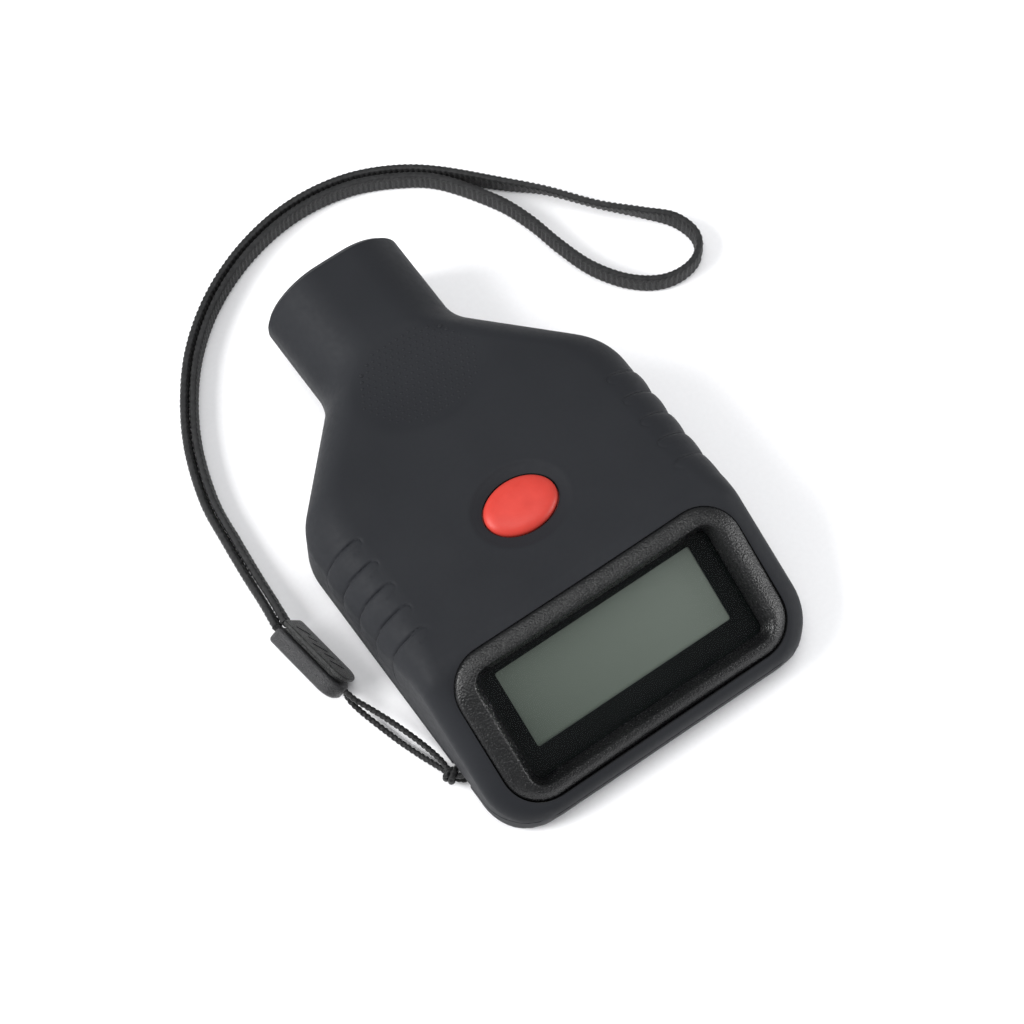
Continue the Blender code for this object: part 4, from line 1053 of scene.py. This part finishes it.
def strap():
    """Webbing on its edge, with ribs across its faces that fade towards its edges."""
    route = offset_strand(1) + list(WEB_LOOP) + offset_strand(-1)[::-1]
    points = smooth(route, 0.00022)
    profile = web_profile()
    rings, run = [], 0.0
    for i, point in enumerate(points):
        heading = points[min(i + 1, len(points) - 1)] - points[max(i - 1, 0)]
        run += float(np.linalg.norm((point - points[i - 1])[:3])) if i else 0.0
        lean = math.radians(-point[3] if i > len(points) / 2 else point[3])
        rings.append(web_ring(point, heading, lean, run, profile))
    piece = loft("strap_webbing", rings, webbing(), sharp=75)
    replace_node(piece, "wrist_strap", "body")


def braided(name, points, look, cyclic=False, around=18):
    """A round cord whose surface shows two sets of strands crossing."""
    rings, run = [], 0.0
    up = Vector((0, 0, 1))
    count = len(points)
    for i in range(count):
        before = points[i - 1] if cyclic or i else points[0]
        after = points[(i + 1) % count] if cyclic or i < count - 1 else points[-1]
        heading = Vector((after - before)[:3]).normalized()
        if i:
            run += float(np.linalg.norm((points[i] - points[i - 1])[:3]))
        side = heading.cross(up)
        side = side.normalized() if side.length > 0.05 else Vector((1, 0, 0))
        up = side.cross(heading).normalized()
        turn = math.tau * run / BRAID_LAY
        ring = []
        for j in range(around):
            angle = math.tau * j / around
            strands = max(math.cos(2 * angle - turn), math.cos(2 * angle + turn))
            radius = THREAD_D * 0.56 * (1 - BRAID_RISE * (1 - strands))
            ring.append(Vector(points[i][:3]) + (side * math.cos(angle) + up * math.sin(angle)) * radius)
        rings.append(ring)
    return loft(name, rings, look, closed=cyclic, sharp=75)


def thread_and_hitch():
    """The thin cord from the clip round the pin and back, with its hitch."""
    look = braid()
    points = smooth(THREAD_ROUTE, 0.00016)
    cord = braided("thread_cord", points, look)
    turns, along_thread = [], HITCH_ACROSS.cross(Vector((0, 0, 1)))
    for i in range(144):
        angle = math.tau * i / 144
        swing = 1 + 0.22 * math.cos(angle)
        side = HITCH_HALF[0] * swing * math.cos(2 * angle)
        rise = HITCH_HALF[1] * swing * math.sin(2 * angle)
        place = HITCH_CENTRE + HITCH_ACROSS * side + Vector((0, 0, rise))
        turns.append(np.array(place + along_thread * HITCH_DEPTH * math.sin(angle)))
    hitch = braided("thread_hitch", turns, look, cyclic=True)
    replace_node(cord, "strap_thread", "body")
    replace_node(hitch, "strap_hitch", "body")


def clip_outline(inset, y):
    """The clip's outline at y in its own frame, round at its strap end."""
    length, _, width = CLIP_SIZE / 2
    corners = (
        (length, -width, CLIP_END_R), (length, width, CLIP_END_R),
        (-length, width, CLIP_HEEL_R), (-length, -width, CLIP_HEEL_R),
    )
    inner = [(math.copysign(abs(a) - inset, a), math.copysign(abs(b) - inset, b),
              max(r - inset, 0.0002)) for a, b, r in corners]
    return [(p.x, y, p.y) for p in rounded_path(inner, 12)]


def clip_slab(name, low, high, inset, edge, look=None):
    """A slab of the clip from low to high, its edges rounded by edge."""
    rings = []
    for face, inwards, turn in ((low, 1, (90, 0)), (high, -1, (0, 90))):
        for angle in np.radians(np.linspace(*turn, 7)):
            level = face + inwards * edge * (1 - math.sin(angle))
            rings.append(clip_outline(inset + edge * (1 - math.cos(angle)), level))
    return loft(name, rings, look, turn=CLIP)


def clip():
    """The strap clip: a rounded body and, over a groove, a cover plate with cut strokes."""
    # painted light: the shell is coloured lighter than the cover, the same black plastic, for the light on
    # its narrow side
    lit_shell_look = clip_black("clip_black", (0.021, 0.021, 0.0222), (0.031, 0.031, 0.0325))
    cover_look = clip_black("clip_cover", (0.0125, 0.0130, 0.0127), (0.0190, 0.0196, 0.0192))
    top = CLIP_SIZE[1] / 2
    body = clip_slab("clip_shell", -top, top - 0.0017, 0.0, 0.0007, lit_shell_look)
    cover = clip_slab("clip_plate", top - 0.0008, top, 0.0001, 0.00022, cover_look)
    steps = [("UNION", clip_slab("tool", top - 0.0016, top - 0.0007, 0.0011, 0.0001))]
    for i, size in enumerate(CLIP_STROKES):
        stroke = box_tool((-size / 2, top - 0.0005, -0.00026), (size / 2, top + 0.0003, 0.00026))
        spot = Matrix.Translation((-0.0048 + i * 0.0022, 0, 0.0002 * (-1) ** i))
        stroke.data.transform(CLIP @ spot @ Matrix.Rotation(CLIP_STROKE_SLANT, 4, "Y"))
        steps.append(("DIFFERENCE", stroke))
    carve(cover, steps)
    replace_node(body, "strap_clip_body", "body")
    replace_node(cover, "strap_clip_cover", "body")


# ---------------------------------------------------------------- build

camera()
strap()
thread_and_hitch()
studio()
clip()
coat = soft_touch()
top_cover(coat)
bottom_cover(coat)
finger_dots(coat)
bezel()
button()
nose()
door()
carried_over_looks()
